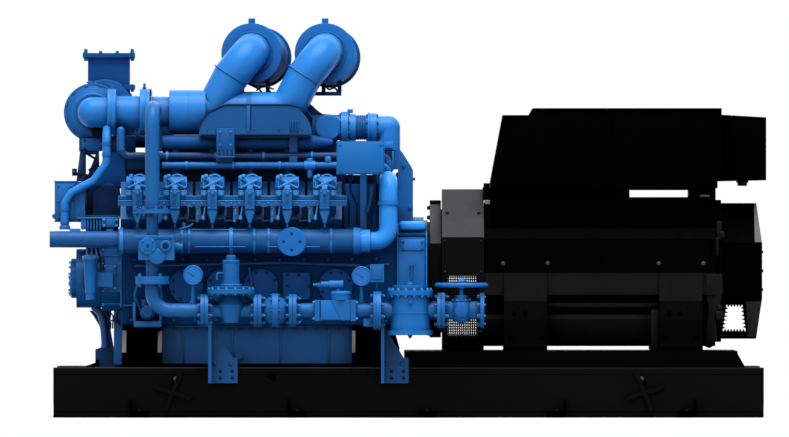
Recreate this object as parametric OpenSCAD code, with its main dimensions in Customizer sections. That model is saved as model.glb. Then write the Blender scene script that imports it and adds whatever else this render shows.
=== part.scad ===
// Gas generator set: a V12 gas engine coupled to an alternator on one welded base frame.
// All sizes are in millimetres. +X runs along the shaft from the engine to the alternator,
// -Y is the side with the gas train, and +Z is up. The origin is on the floor, under the
// middle of the base frame, and the shaft lies above it in the plane Y = 0.

/* [Base frame] */
// Length of the base rails
base_l = 4400; // [4300:10:5000]
// Width over both base rails
base_w = 1500; // [1440:10:1700]
// Height of a base rail
rail_h = 310; // [200:5:320]
// Width of a base rail
rail_w = 200; // [120:5:240]
// Radius of the long edges of a base rail
rail_edge_r = 18; // [5:1:30]
// Thickness of the deck plate between the rails
deck_t = 10; // [5:1:20]
// Height of the cross members under the deck
cross_h = 200; // [100:10:260]
// Width of one cross member
cross_w = 160; // [80:10:240]
// Number of cross members
cross_n = 6; // [3:1:9]
// Top of the alternator subframe above the floor
subframe_z = 412; // [350:1:425]

/* [Lugs and cleats on the rails] */
// Length of a hold-down cleat
cleat_l = 118; // [60:2:160]
// How far a cleat stands out from the rail
cleat_w = 60; // [30:2:100]
// Plate thickness of a cleat
cleat_t = 20; // [8:1:30]
// Height of the upright leg of a cleat
cleat_h = 88; // [50:2:120]
// Height of a cleat above the floor
cleat_z = 22; // [5:1:60]
// Distance of the lifting lugs from the ends of the base
lug_inset = 738; // [400:2:900]
// Thickness of a lifting lug
lug_t = 24; // [10:1:40]
// Length of the long arm of a lifting lug
lug_long = 236; // [120:2:260]
// Length of the cross arm of a lifting lug
lug_cross = 250; // [120:2:280]
// Width of the arms of a lifting lug
lug_arm_w = 26; // [12:1:50]
// Lean of a lifting lug
lug_lean = 22; // [0:1:45]

/* [Engine block] */
// Height of the shaft above the floor
shaft_z = 908; // [900:1:960]
// Place of the crankcase's front face along the base
crankcase_x = -1776; // [-1800:2:-1740]
// Length of the crankcase
crankcase_l = 1705; // [1700:5:1900]
// Half width of the crankcase sides
crankcase_side = 430; // [400:5:440]
// Depth of the crankcase below the shaft
crankcase_drop = 334; // [300:2:350]
// Height of the crankcase's vertical sides above the shaft
crankcase_rise = 112; // [80:2:150]
// Distance of the head deck from the shaft axis
deck_d = 470; // [440:5:520]
// Half width of the head deck across a bank
deck_half = 165; // [140:5:180]
// Half width of the flat floor of the valley between the banks
valley_half = 60; // [40:5:90]
// Number of cylinders in a bank
bank_n = 6; // [4:1:6]
// Distance between cylinders in a bank
cylinder_pitch = 232; // [225:1:250]
// Distance of the first cylinder from the crankcase's front face
cylinder_start = 96; // [90:1:130]
// Width of one cylinder head along the engine
head_w = 214; // [180:2:222]
// Height of a cylinder head
head_h = 150; // [120:5:180]
// Width of one rocker cover along the engine
rocker_w = 144; // [120:2:206]
// Height of a rocker cover
rocker_h = 90; // [60:5:110]
// Edge of a rocker cover towards the outside, from the bank's centre plane
rocker_out = 110; // [80:5:140]
// Edge of a rocker cover towards the valley, from the bank's centre plane
rocker_in = 140; // [100:5:150]
// Length of the oil pan
pan_l = 1191; // [1000:5:1250]
// Distance of the oil pan from the crankcase's front face
pan_start = 235; // [200:5:280]
// Half width of the oil pan at its top
pan_top = 400; // [360:5:420]
// Half width of the oil pan at its floor
pan_floor = 320; // [250:5:360]
// Height of the oil pan's sloping foot
pan_foot_h = 25; // [10:1:80]
// Clearance between the oil pan's floor and the deck plate
pan_gap = 16; // [5:1:40]
// Radius of the round crankcase doors
door_r = 105; // [80:1:112]
// Width of the square crankcase doors
door_w = 167; // [120:1:220]
// Height of the square crankcase doors
door_h = 167; // [120:1:220]
// Thickness of the crankcase doors
door_t = 22; // [8:1:40]

/* [Engine mounts] */
// Length of the front engine mount along the base
front_mount_l = 248; // [180:2:280]
// Length of the rear engine mount along the base
rear_mount_l = 186; // [120:2:210]
// Thickness of a mount's ribs and plates
mount_t = 28; // [12:1:40]
// Height of a mount's ribs above the rail
mount_h = 228; // [180:2:260]
// Thickness of a mount's foot plate
mount_foot_t = 20; // [12:1:40]

/* [Front end of the engine] */
// Thickness of the gear cover
gear_cover_t = 131; // [90:1:160]
// Half width of the gear cover
gear_cover_half = 400; // [380:5:430]
// Height of the gear cover's top above the shaft
gear_cover_rise = 193; // [150:1:215]
// Depth of the gear cover below the shaft
gear_cover_drop = 248; // [200:1:300]
// Radius of the coolant pump's casing
pump_r = 183; // [120:1:190]
// Length of the coolant pump's casing
pump_l = 158; // [100:1:180]
// Distance of the coolant pump from the engine's centre plane
pump_y = 190; // [150:5:210]
// Distance of the coolant pump's axis below the shaft
pump_drop = 46; // [30:1:60]
// Radius of the oil centrifuge's lid
centrifuge_r = 50; // [30:1:55]
// Height of the oil centrifuge
centrifuge_h = 266; // [180:2:280]
// Width of the side control cabinet at the front
cabinet_l = 188; // [100:1:195]
// Height of the side control cabinet
cabinet_h = 251; // [150:1:260]
// Height of the side control cabinet's floor above the shaft
cabinet_rise = 304; // [282:1:332]

/* [Coolant pipes] */
// Outer radius of the side coolant manifolds
manifold_r = 75; // [50:1:80]
// Outer radius of the coolant connections at the front
stub_r = 51; // [35:1:60]
// Bore radius of the coolant connections at the front
stub_bore_r = 45; // [25:1:46]
// Depth of the bore in the coolant connections
stub_bore_l = 160; // [80:5:200]
// Place of the front end of the coolant connections
stub_x = -2225; // [-2300:5:-2150]
// Outer radius of the coolant risers at the rear
riser_r = 57; // [40:1:60]
// Height of the coolant crossover's axis above the shaft
crossover_rise = 563; // [532:1:567]

/* [Air intake] */
// Distance of the intake duct's axis from the engine's centre plane
intake_y = 180; // [170:2:190]
// Height of the intake duct's axis above the shaft
intake_rise = 999; // [992:1:1007]
// Radius of the intake ducts
duct_r = 112; // [100:1:115]
// Slope of the long leg of a filter duct
elbow_tilt = 62.5; // [58:0.1:65]
// Slope of the short leg of a filter duct, above its joint
hood_tilt = 51; // [46:0.1:56]
// Length from a filter duct's joint to the axis of its filter connection
hood_l = 200; // [170:1:230]
// Height of the filter connection above the filter's axis
hood_rise = 15; // [0:1:30]
// Bend radius where an elbow meets its filter
elbow_bend_r = 150; // [140:1:160]
// Radius of the plenum drum
plenum_r = 140; // [130:1:146]
// Length of the plenum drum
plenum_l = 226; // [200:1:240]
// Height of the air filters' axes above the shaft
filter_rise = 1354; // [1332:1:1382]
// Radius of an air filter's end plates
filter_r = 185; // [170:1:200]
// Length of an air filter
filter_l = 560; // [400:5:600]
// Place of the first air filter along the base
filter_a_x = -978; // [-990:1:-960]
// Distance between the two air filters
filter_pitch = 458; // [450:1:480]

/* [Turbocharger and exhaust] */
// Radius of the compressor and turbine casings
turbo_r = 180; // [160:1:185]
// Radius of the compressor's inlet pipe
inlet_r = 103; // [80:1:108]
// Width of the exhaust neck
exhaust_w = 260; // [200:2:270]
// Width of the exhaust flange
exhaust_flange_w = 324; // [318:2:360]
// Thickness of the exhaust flange
exhaust_flange_t = 28; // [15:1:40]
// Top of the exhaust flange above the shaft
exhaust_rise = 1358; // [1292:1:1392]
// Distance between the corner holes of the exhaust flange
exhaust_hole_pitch = 290; // [286:2:296]
// Radius of the exhaust flange's holes
exhaust_hole_r = 7; // [5:1:8]
// Wall thickness of the exhaust neck
exhaust_wall = 10; // [5:1:20]
// Radius of the exhaust manifolds
exhaust_manifold_r = 48; // [35:1:48]

/* [Gas train] */
// Distance of the gas train's axis from the engine's centre plane
train_y = 870; // [860:2:900]
// Height of the gas train's axis
train_z = 665; // [645:1:675]
// Outer radius of the smaller gas pipe
pipe_r = 44.5; // [36:0.5:46]
// Radius of the flanges on the smaller gas pipe
flange_r = 100; // [90:1:102]
// Outer radius of the larger gas pipe
inlet_pipe_r = 57; // [50:1:60]
// Radius of the flanges on the larger gas pipe
inlet_flange_r = 110; // [106:1:114]
// Bore radius of the gas inlet
gas_bore_r = 50; // [30:1:52]
// Depth of the gas inlet's bore
gas_bore_l = 90; // [60:1:100]
// Bolt circle diameter of the gas inlet flange
gas_pcd = 180; // [172:1:190]
// Radius of the bolt holes in the gas inlet flange
gas_hole_r = 9; // [6:1:10]
// Number of bolt holes in the gas inlet flange
gas_hole_n = 8; // [4:4:8]
// Thickness of one flange
flange_t = 24; // [16:1:28]
// Bend radius of the gas pipes
gas_bend_r = 115; // [100:1:130]
// Place of the vertical gas pipe along the base
gas_riser_x = -1585; // [-1600:1:-1570]
// Height of the crossing gas pipe's axis above the shaft
gas_top_rise = 1010; // [992:1:1017]
// Radius of the gas filter's body
gas_filter_r = 124; // [110:1:140]
// Radius of the valve handwheel to the middle of its rim
wheel_r = 152; // [120:1:160]
// Radius of the handwheel's rim tube
wheel_tube_r = 14; // [8:1:16]
// Height of the handwheel above the gas train's axis
wheel_rise = 157; // [150:1:190]
// Radius of the handwheel's spindle
spindle_r = 13; // [8:1:16]
// Running clearance around the spindle
spindle_gap = 0.3; // [0.1:0.1:1]
// Thickness of the brackets that carry the gas train
bracket_t = 20; // [10:1:30]
// Height of the brackets' foot plates
bracket_foot_h = 158; // [130:2:170]

/* [Flywheel end] */
// Radius of the flywheel housing
bell_r = 335; // [320:1:345]
// Length of the flywheel housing
bell_l = 189; // [170:1:220]
// Flat-to-centre size of the adapter ring's rim
adapter_apothem = 414; // [390:1:440]
// Width of the adapter ring's rim
adapter_l = 69; // [50:1:90]
// Space between flywheel housing and adapter rim
adapter_gap = 15; // [8:1:25]

/* [Alternator] */
// Flat-to-centre size of the drive-end barrel
barrel_apothem = 508; // [460:1:515]
// Length of the drive-end barrel
barrel_l = 260; // [240:1:320]
// Thickness of the drive-end barrel's wall
barrel_wall = 30; // [12:1:50]
// Length of the alternator's frame
frame_l = 1440; // [1400:2:1500]
// Length of the frame's flange at the drive end
frame_flange_l = 37; // [20:1:50]
// Half width of the alternator's frame
frame_half = 480; // [440:2:500]
// Height of the alternator frame's top above the shaft
frame_rise = 267; // [250:1:300]
// Clearance under the alternator's frame
frame_gap = 28; // [25:1:60]
// Length of one alternator foot
foot_l = 267; // [200:1:320]
// Distance of the front foot from the frame's drive end
foot_start = 124; // [100:1:150]
// Distance between the front and rear feet
foot_pitch = 964; // [900:2:1000]
// Flat-to-centre size of the end cowl
cowl_apothem = 422; // [400:1:440]
// Length of the end cowl
cowl_l = 251; // [220:1:280]
// Thickness of the end cowl's wall
cowl_wall = 25; // [10:1:50]
// Length of the terminal box
terminal_l = 1436; // [1400:2:1500]
// Half width of the terminal box
terminal_half = 450; // [400:5:480]
// Height of the terminal box
terminal_h = 496; // [450:1:520]
// Height of the pedestal below the terminal box
pedestal_h = 248; // [220:1:260]
// Length of the cable outlet box
outlet_l = 279; // [200:1:320]
// Height of the cable outlet box
outlet_h = 403; // [350:1:410]
// Half width of the cable outlet box
outlet_half = 320; // [200:5:400]

/* [Boxes on the engine] */
// Length of the control box
control_l = 297; // [250:1:300]
// Height of the control box
control_h = 207; // [180:1:215]
// Depth of the control box
control_d = 110; // [60:1:150]

/* [Hidden] */
$fn = 48;
// Cutters reach this far past what they cut
eps = 1;
// Joint between two machined faces that meet at an angle
seat = 0.01;
bank_angle = 45;

// Stations along the shaft
crankcase_end = crankcase_x + crankcase_l;
bell_end = crankcase_end + bell_l;
adapter_x = bell_end + adapter_gap;
barrel_x = adapter_x + adapter_l + 6;
frame_x = barrel_x + barrel_l;
frame_end = frame_x + frame_l;
bell_shield_l = 37;
cowl_x = frame_end + bell_shield_l;
terminal_x = frame_x + frame_flange_l + 3;
first_cylinder_x = crankcase_x + cylinder_start;
bank_end_x = first_cylinder_x + (bank_n - 1) * cylinder_pitch;
bank_x = [crankcase_x - 60, crankcase_end];
manifold_x0 = crankcase_x - 25;
manifold_x1 = crankcase_end - 248;
riser_x = crankcase_end - 55;
plenum_x0 = crankcase_x + 288;
plenum_x1 = plenum_x0 + plenum_l;
compressor_x = crankcase_x - 189;
turbine_x = crankcase_x - 121;
exhaust_x = crankcase_x - 93;
exhaust_front_x = crankcase_x + 246;
exhaust_rear_x = crankcase_x + 1186;
inlet_collar_x = crankcase_x - 93;
inlet_pipe_x = inlet_collar_x + 55;
rear_collar_x = inlet_pipe_x + 143;

// Heights
deck_z = rail_h - rail_edge_r;
pan_z = shaft_z - crankcase_drop;
frame_top_z = shaft_z + frame_rise;
frame_floor_z = subframe_z + frame_gap;
terminal_z = frame_top_z + pedestal_h;
terminal_top_z = terminal_z + terminal_h;
front_plate_z = shaft_z + 341;
front_plate_t = 12;
crossover_z = shaft_z + crossover_rise;
mixture_top_z = shaft_z + 632;
cooler_front_z = shaft_z + 738;
cooler_top_z = shaft_z + 756;
rear_top_z = shaft_z + 752;
exhaust_pipe_z = shaft_z + 797;
intake_z = shaft_z + intake_rise;
inlet_z = intake_z - 13;
turbine_z = inlet_z + 25;
exhaust_z = shaft_z + exhaust_rise;
filter_z = shaft_z + filter_rise;
gas_top_z = shaft_z + gas_top_rise;

// Places across the set
rail_outer = base_w / 2;
turbo_y = -50;
exhaust_y = 232;
exhaust_pipe_y = 290;
shield_y = [-440, -325];
elbow_collar = 20;
filter_y0 = -intake_y + elbow_bend_r + elbow_collar;
riser_bend = 82;

// A bank's corners, seen along the shaft
deck_along = deck_d * sin(bank_angle);
deck_across = deck_half * cos(bank_angle);
bank_side = deck_along + deck_across;
bank_side_rise = deck_along - deck_across;
rocker_top = deck_d + head_h + rocker_h;
valley_z = shaft_z + 2 * deck_across + valley_half;
valley_gap = 12;
coil_rail_y = (rocker_top + rocker_out) * sin(bank_angle) + 40;
coil_rail_z = shaft_z + (rocker_top - rocker_out) * cos(bank_angle) - 21;
manifold_reach = 116;
manifold_y = (deck_d + head_h / 2 + deck_half + manifold_reach) * sin(bank_angle);
manifold_z = shaft_z + (deck_d + head_h / 2 - deck_half - manifold_reach) * cos(bank_angle);

// The small pipes along the banks: distance from the engine's centre plane, height and radius
upper_pipe = [345, shaft_z + 713, 25];
lower_pipe = [400, shaft_z + 655, 22];

// Stations and heights along the gas train
train_x1 = gas_riser_x + 298;
regulator_x1 = train_x1 + 329;
check_x1 = regulator_x1 + 217;
solenoid_x0 = check_x1 + 161;
solenoid_x1 = solenoid_x0 + 254;
gas_filter_x0 = solenoid_x1 + 156;
gas_filter_x1 = gas_filter_x0 + 347;
valve_x1 = gas_filter_x1 + 291;
wheel_x = (gas_filter_x1 + valve_x1) / 2 + 4;
wheel_z = train_z + wheel_rise;
low_seam_z = train_z + 187;
mixer_z = train_z + 312;
high_seam_z = train_z + 613;

// Basic shapes, each given by the ranges or the centre that it fills

module block(x, y, z) {
    translate([x[0], y[0], z[0]]) cube([x[1] - x[0], y[1] - y[0], z[1] - z[0]]);
}

module rod_x(x, y, z, r) {
    translate([x[0], y, z]) rotate([0, 90, 0]) cylinder(h = x[1] - x[0], r = r);
}

module rod_y(x, y, z, r) {
    translate([x, y[0], z]) rotate([-90, 0, 0]) cylinder(h = y[1] - y[0], r = r);
}

module rod_z(x, y, z, r) {
    translate([x, y, z[0]]) cylinder(h = z[1] - z[0], r = r);
}

// A profile of [Y, Z] points pushed along X
module profile_x(x, points) {
    translate([x[0], 0, 0]) rotate([90, 0, 90]) linear_extrude(x[1] - x[0]) polygon(points);
}

// A profile of [X, Z] points pushed along Y
module profile_y(y, points) {
    translate([0, y[1], 0]) rotate([90, 0, 0]) linear_extrude(y[1] - y[0]) polygon(points);
}

// A bent pipe around a centre, in the XZ plane or the YZ plane
module bend_xz(centre, start, sweep, bend_r, r) {
    translate(centre) rotate([90, 0, 0]) rotate([0, 0, start])
        rotate_extrude(angle = sweep) translate([bend_r, 0]) circle(r);
}

module bend_yz(centre, start, sweep, bend_r, r) {
    translate(centre) rotate([90, 0, 90]) rotate([0, 0, start])
        rotate_extrude(angle = sweep) translate([bend_r, 0]) circle(r);
}

module octagon_x(x, z, apothem) {
    translate([x[0], 0, z]) rotate([0, 90, 0]) rotate(22.5)
        cylinder(h = x[1] - x[0], r = apothem / cos(22.5), $fn = 8);
}

module both_sides() {
    children();
    mirror([0, 1, 0]) children();
}

// Turns a bank's own frame, with Z from the shaft to the heads, to the near side
module in_bank() {
    translate([0, 0, shaft_z]) rotate([bank_angle, 0, 0]) children();
}

module at_cylinders() {
    for (i = [0 : bank_n - 1])
        translate([first_cylinder_x + i * cylinder_pitch, 0, 0]) children();
}

// A plain mirrored profile: the points of the far half, bottom first
function mirrored(points) = concat(points, [for (i = [len(points) - 1 : -1 : 0]) [-points[i][0], points[i][1]]]);

// Base frame

module rail(y0) {
    color([0.05, 0.05, 0.05])
    translate([-base_l / 2, y0, 0]) rotate([90, 0, 90]) linear_extrude(base_l) {
        translate([rail_edge_r, 0]) square([rail_w - 2 * rail_edge_r, rail_h]);
        translate([0, rail_edge_r]) square([rail_w, rail_h - 2 * rail_edge_r]);
        for (y = [rail_edge_r, rail_w - rail_edge_r])
            for (z = [rail_edge_r, rail_h - rail_edge_r])
                translate([y, z]) circle(rail_edge_r);
    }
}

module base_rails() {
    rail(-rail_outer);
    rail(rail_outer - rail_w);
}

module base_crossmembers() {
    inner = rail_outer - rail_w;
    step = (base_l - cross_w) / (cross_n - 1);
    color([0.04, 0.04, 0.04])
    for (i = [0 : cross_n - 1])
        translate([-base_l / 2 + i * step, 0, 0])
            block([0, cross_w], [-inner, inner], [deck_z - deck_t - cross_h, deck_z - deck_t]);
}

module base_deck() {
    inner = rail_outer - rail_w;
    color([0.07, 0.07, 0.07])
    block([-base_l / 2, base_l / 2], [-inner, inner], [deck_z - deck_t, deck_z]);
}

module alternator_subframe() {
    x0 = adapter_x - 160;
    x1 = cowl_x + 93;
    chamfer = 49;
    color([0.04, 0.04, 0.04])
    profile_y([-rail_outer, rail_outer], [[x0, rail_h], [x1 + chamfer, rail_h],
        [x1, subframe_z - 15], [x1, subframe_z], [x0, subframe_z]]);
}

module hold_down_cleats() {
    foot_z = [cleat_z, cleat_z + cleat_t];
    front_x = -base_l / 2 + 532;
    rear_x = base_l / 2 - 476;
    color([0.03, 0.03, 0.03])
    both_sides()
        for (place = [[front_x, -1], [-694, -1], [115, 0], [918, 1], [rear_x, 1]]) {
            x0 = place[0] - cleat_l / 2;
            x1 = place[0] + cleat_l / 2;
            y = [-rail_outer - cleat_w, -rail_outer];
            block([x0, x1], y, foot_z);
            if (place[1] < 0) block([x0, x0 + cleat_t], y, [cleat_z, cleat_z + cleat_h]);
            if (place[1] > 0) block([x1 - cleat_t, x1], y, [cleat_z, cleat_z + cleat_h]);
        }
}

// One four-armed lug, drawn for the right-hand end
module lug_shape() {
    rotate([90, 0, 0]) linear_extrude(lug_t) {
        rotate(lug_lean) square([lug_arm_w, lug_long], center = true);
        rotate(lug_lean) translate([0, lug_long / 2]) circle(lug_arm_w * 0.75);
        rotate(lug_lean - 4) square([lug_cross, lug_arm_w], center = true);
    }
}

module lifting_lugs() {
    color([0.1, 0.1, 0.1])
    both_sides()
        for (side = [-1, 1])
            translate([side * (base_l / 2 - lug_inset), -rail_outer, rail_h / 2])
                mirror([side < 0 ? 1 : 0, 0, 0]) lug_shape();
}

// Engine block

module crankcase_profile(x) {
    profile_x(x, mirrored([
        [crankcase_side, shaft_z - crankcase_drop],
        [crankcase_side, shaft_z + crankcase_rise],
        [bank_side, shaft_z + bank_side_rise],
        [bank_side_rise, shaft_z + bank_side],
        [valley_half, valley_z]]));
}

module crankcase() {
    color([0.14, 0.43, 0.72])
    crankcase_profile([crankcase_x, crankcase_end]);
}

module crankcase_doors() {
    door_z = shaft_z - 93;
    door_y = [-crankcase_side - door_t, -crankcase_side];
    first_x = crankcase_x + 396;
    square_x = first_x + 3 * cylinder_pitch - 10;
    color([0.13, 0.4, 0.68])
    both_sides() {
        for (i = [0, 1, 2, 4])
            rod_y(first_x + i * cylinder_pitch, door_y, door_z, door_r);
        block([square_x - door_w / 2, square_x + door_w / 2], door_y, [door_z - door_h / 2, door_z + door_h / 2]);
    }
}

module oil_pan() {
    x0 = crankcase_x + pan_start;
    z0 = deck_z + pan_gap;
    color([0.09, 0.26, 0.46])
    profile_x([x0, x0 + pan_l], mirrored([[pan_floor, z0], [pan_top, z0 + pan_foot_h], [pan_top, pan_z]]));
}

// One mount: foot plate on the rail, back plate and ledge under the crankcase, and two ribs
module engine_mount(x0, length) {
    x1 = x0 + length;
    back = -crankcase_side - mount_t;
    out = -rail_outer + 25;
    foot_top = rail_h + mount_foot_t;
    top = rail_h + mount_h;
    block([x0, x1], [out - 15, -rail_outer + rail_w], [rail_h, foot_top]);
    block([x0, x1], [back, -crankcase_side], [rail_h + 30, pan_z]);
    block([x0, x1], [back, -pan_top], [pan_z - mount_t, pan_z]);
    for (x = [x0, x1 - mount_t])
        profile_x([x, x + mount_t], [[out, foot_top], [back, foot_top], [back, top], [back - 60, top],
            [out, rail_h + 90]]);
}

module engine_mounts() {
    rear_mount_x1 = crankcase_end - 93;
    color([0.06, 0.06, 0.07])
    both_sides() {
        engine_mount(crankcase_x, front_mount_l);
        engine_mount(rear_mount_x1 - rear_mount_l, rear_mount_l);
        profile_y([-crankcase_side - mount_t, -crankcase_side], [[rear_mount_x1, rail_h + 30],
            [rear_mount_x1 + 108, rail_h + 30], [rear_mount_x1 + 108, rail_h + 117],
            [rear_mount_x1 + 66, pan_z], [rear_mount_x1, pan_z]]);
    }
}

// Front end of the engine

module gear_cover() {
    x0 = crankcase_x - gear_cover_t;
    color([0.12, 0.38, 0.66]) {
        profile_x([x0, crankcase_x], mirrored([
            [gear_cover_half - 120, shaft_z - gear_cover_drop],
            [gear_cover_half, shaft_z - gear_cover_drop + 120],
            [gear_cover_half, shaft_z + gear_cover_rise - 60],
            [gear_cover_half - 60, shaft_z + gear_cover_rise]]));
        block([crankcase_x - 56, crankcase_x], [-280, 280], [deck_z + 34, shaft_z - gear_cover_drop]);
    }
}

module coolant_pump() {
    x1 = crankcase_x - gear_cover_t;
    z = shaft_z - pump_drop;
    color([0.11, 0.36, 0.62])
    difference() {
        union() {
            rod_x([x1 - pump_l, x1], -pump_y, z, pump_r);
            rod_x([x1 - pump_l, x1], pump_y, z, pump_r);
            rod_x([x1 - pump_l - 30, x1 - pump_l], -pump_y, z, pump_r - 60);
            block([x1 - pump_l + 30, x1], [-pump_y, pump_y], [z - 90, z + 90]);
        }
        rod_x([x1 - pump_l - 30 - eps, x1 - pump_l], -pump_y, z, 46);
    }
}

module oil_centrifuge() {
    x = crankcase_x - gear_cover_t - 66;
    y = -gear_cover_half - 83;
    top = shaft_z + 87;
    z0 = top - centrifuge_h;
    color([0.2, 0.5, 0.82]) {
        rod_z(x, y, [z0, z0 + 40], centrifuge_r - 20);
        translate([x, y, z0 + 40])
            cylinder(h = centrifuge_h - 65, r1 = centrifuge_r - 16, r2 = centrifuge_r - 6);
        rod_z(x, y, [top - 25, top], centrifuge_r);
        block([x, crankcase_x - 60], [y + 23, -gear_cover_half], [z0 + 80, z0 + 170]);
    }
}

module front_support() {
    x = crankcase_x;
    top = shaft_z - gear_cover_drop;
    foot_top = deck_z + 22;
    color([0.1, 0.33, 0.58]) {
        block([x - 174, x - 60], [-160, 160], [deck_z, foot_top]);
        profile_y([-90, 90], [[x - 174, foot_top], [x - 60, foot_top], [x - 60, top - 240], [x - 84, top - 100],
            [x - 75, top], [x - 211, top], [x - 186, top - 31], [x - 149, top - 93], [x - 130, top - 167],
            [x - 140, top - 229], [x - 174, top - 242]]);
    }
}

module front_cabinet() {
    x0 = crankcase_x - 422;
    x1 = x0 + cabinet_l;
    z0 = shaft_z + cabinet_rise;
    plate_z = front_plate_z - front_plate_t / 2;
    color([0.16, 0.46, 0.78]) {
        block([x0, x1], [-360, 100], [z0, z0 + cabinet_h]);
        block([x1, crankcase_x], [-315, 70], [plate_z, plate_z + front_plate_t]);
    }
}

module front_covers() {
    plate_z = front_plate_z + front_plate_t / 2;
    x0 = crankcase_x - 184;
    x1 = crankcase_x - 12;
    peak = [crankcase_x - 87, shaft_z + 558];
    knee = [crankcase_x - 24, shaft_z + 512];
    back_x = crankcase_x + 16;
    color([0.1, 0.3, 0.55]) {
        profile_y([-300, 150], [[x0, plate_z], [x1, plate_z], [x1, shaft_z + 412], knee, peak, [x0, shaft_z + 492]]);
        profile_y([-200, 200], [peak, knee, [back_x, knee[1] + 16], [back_x, cooler_front_z],
            [peak[0], cooler_front_z]]);
        profile_y([-200, -45], [[x0 - 46, plate_z], [peak[0], plate_z], [peak[0], cooler_front_z],
            [peak[0] - 25, cooler_front_z], [peak[0] - 25, shaft_z + 645], [x0 - 46, shaft_z + 490]]);
        block([crankcase_x - 231, crankcase_x - 34], [-220, 220],
            [shaft_z + gear_cover_rise, plate_z - front_plate_t]);
    }
}

// Cylinder banks

module cylinder_heads() {
    color([0.13, 0.41, 0.7])
    both_sides() in_bank() at_cylinders()
        block([-head_w / 2, head_w / 2], [-deck_half, deck_half], [deck_d + seat, deck_d + head_h]);
}

module rocker_covers() {
    z0 = deck_d + head_h;
    color([0.16, 0.46, 0.76])
    both_sides() in_bank() at_cylinders()
        profile_x([-rocker_w / 2, rocker_w / 2], [[-rocker_out, z0], [rocker_in, z0],
            [rocker_in, z0 + rocker_h - 20], [rocker_in - 20, z0 + rocker_h],
            [-rocker_out + 25, z0 + rocker_h], [-rocker_out, z0 + rocker_h - 25]]);
}

// A rail along each bank, on an arm from every rocker cover, with one coil unit for each cylinder
module ignition_rails() {
    y = -coil_rail_y;
    z = coil_rail_z;
    rail_x = [crankcase_x - 25, bank_end_x + cylinder_pitch * 0.6];
    pod_y = [y - 56, y - 32];
    color([0.2, 0.52, 0.86])
    both_sides() {
        block(rail_x, [y - 32, y], [z, z + 36]);
        block(rail_x, [y - 25, y - 2], [z + 36, z + 62]);
        at_cylinders() {
            block([-31, 31], pod_y, [z - 43, z + 100]);
            profile_y(pod_y, [[-31, z - 43], [31, z - 43], [8, z - 105], [-8, z - 105]]);
            block([-71, 71], [y - 40, y + 20], [z + 62, z + 100]);
            for (x = [-45, 45])
                rod_z(x, y - 10, [z + 100, z + 151], 24);
        }
        difference() {
            at_cylinders() block([-20, 20], [y - 32, y + 120], [z - 21, z]);
            in_bank() block(bank_x, [-rocker_out, rocker_in], [deck_d, rocker_top]);
        }
    }
}

module coolant_manifolds() {
    stub_end = [stub_x, manifold_x0];
    color([0.16, 0.45, 0.77])
    both_sides()
        difference() {
            union() {
                rod_x([manifold_x0, manifold_x1], -manifold_y, manifold_z, manifold_r);
                rod_x(stub_end, -manifold_y, manifold_z + 10, stub_r);
                at_cylinders()
                    translate([0, -manifold_y, manifold_z]) rotate([-bank_angle, 0, 0])
                        cylinder(h = 140, r = 30);
            }
            rod_x([stub_x - eps, stub_x + stub_bore_l], -manifold_y, manifold_z + 10, stub_bore_r);
            in_bank() block(bank_x, [-deck_half, deck_half], [deck_d, deck_d + head_h]);
        }
}

// The coolant leaves each side manifold, rises and crosses over above the flywheel end
module coolant_risers() {
    color([0.3, 0.6, 0.95]) {
        both_sides() {
            rod_x([manifold_x1, manifold_x1 + 80], -manifold_y, manifold_z, manifold_r - 4);
            rod_x([manifold_x1 + 80, riser_x - riser_bend], -manifold_y, manifold_z, riser_r);
            bend_xz([riser_x - riser_bend, -manifold_y, manifold_z + riser_bend], 270, 90, riser_bend, riser_r);
            rod_z(riser_x, -manifold_y, [manifold_z + riser_bend, crossover_z - riser_bend], riser_r);
            bend_yz([riser_x, -manifold_y + riser_bend, crossover_z - riser_bend], 90, 90, riser_bend, riser_r);
        }
    }
}

module thermostat_housing() {
    color([0.2, 0.5, 0.85]) {
        rod_y(riser_x, [-manifold_y + riser_bend, manifold_y - riser_bend], crossover_z, riser_r);
        profile_x([riser_x - 74, riser_x + 26], mirrored([
            [valley_half - valley_gap, valley_z],
            [180, valley_z + 180 - valley_half + valley_gap],
            [240, crossover_z - 71],
            [240, crossover_z + 69]]));
    }
}

module mixture_manifold() {
    half = 180;
    color([0.1, 0.32, 0.58])
    profile_x([crankcase_x + 20, bank_end_x + cylinder_pitch / 2], mirrored([
        [valley_half - valley_gap, valley_z],
        [half, valley_z + half - valley_half + valley_gap],
        [half, mixture_top_z]]));
}

// The cooler for the gas mixture lies on the manifold in the valley
module mixture_cooler() {
    x0 = crankcase_x + 20;
    step_x = exhaust_front_x + 2;
    x1 = bank_end_x + 90;
    color([0.08, 0.26, 0.5])
    profile_y([-225, 225], [[x0, mixture_top_z], [x1, mixture_top_z], [x1, cooler_top_z],
        [step_x, cooler_top_z], [step_x, cooler_front_z], [x0, cooler_front_z]]);
}

// The oil cooler bridges the rear end of both banks
module oil_cooler() {
    x = [bank_end_x + cylinder_pitch / 2 + 2, riser_x - 76];
    color([0.08, 0.26, 0.5])
    difference() {
        block(x, [-420, 420], [shaft_z + bank_side_rise, shaft_z + 540]);
        crankcase_profile([x[0] - eps, x[1] + eps]);
    }
}

// Exhaust, intake and charge pipes above the banks

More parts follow.
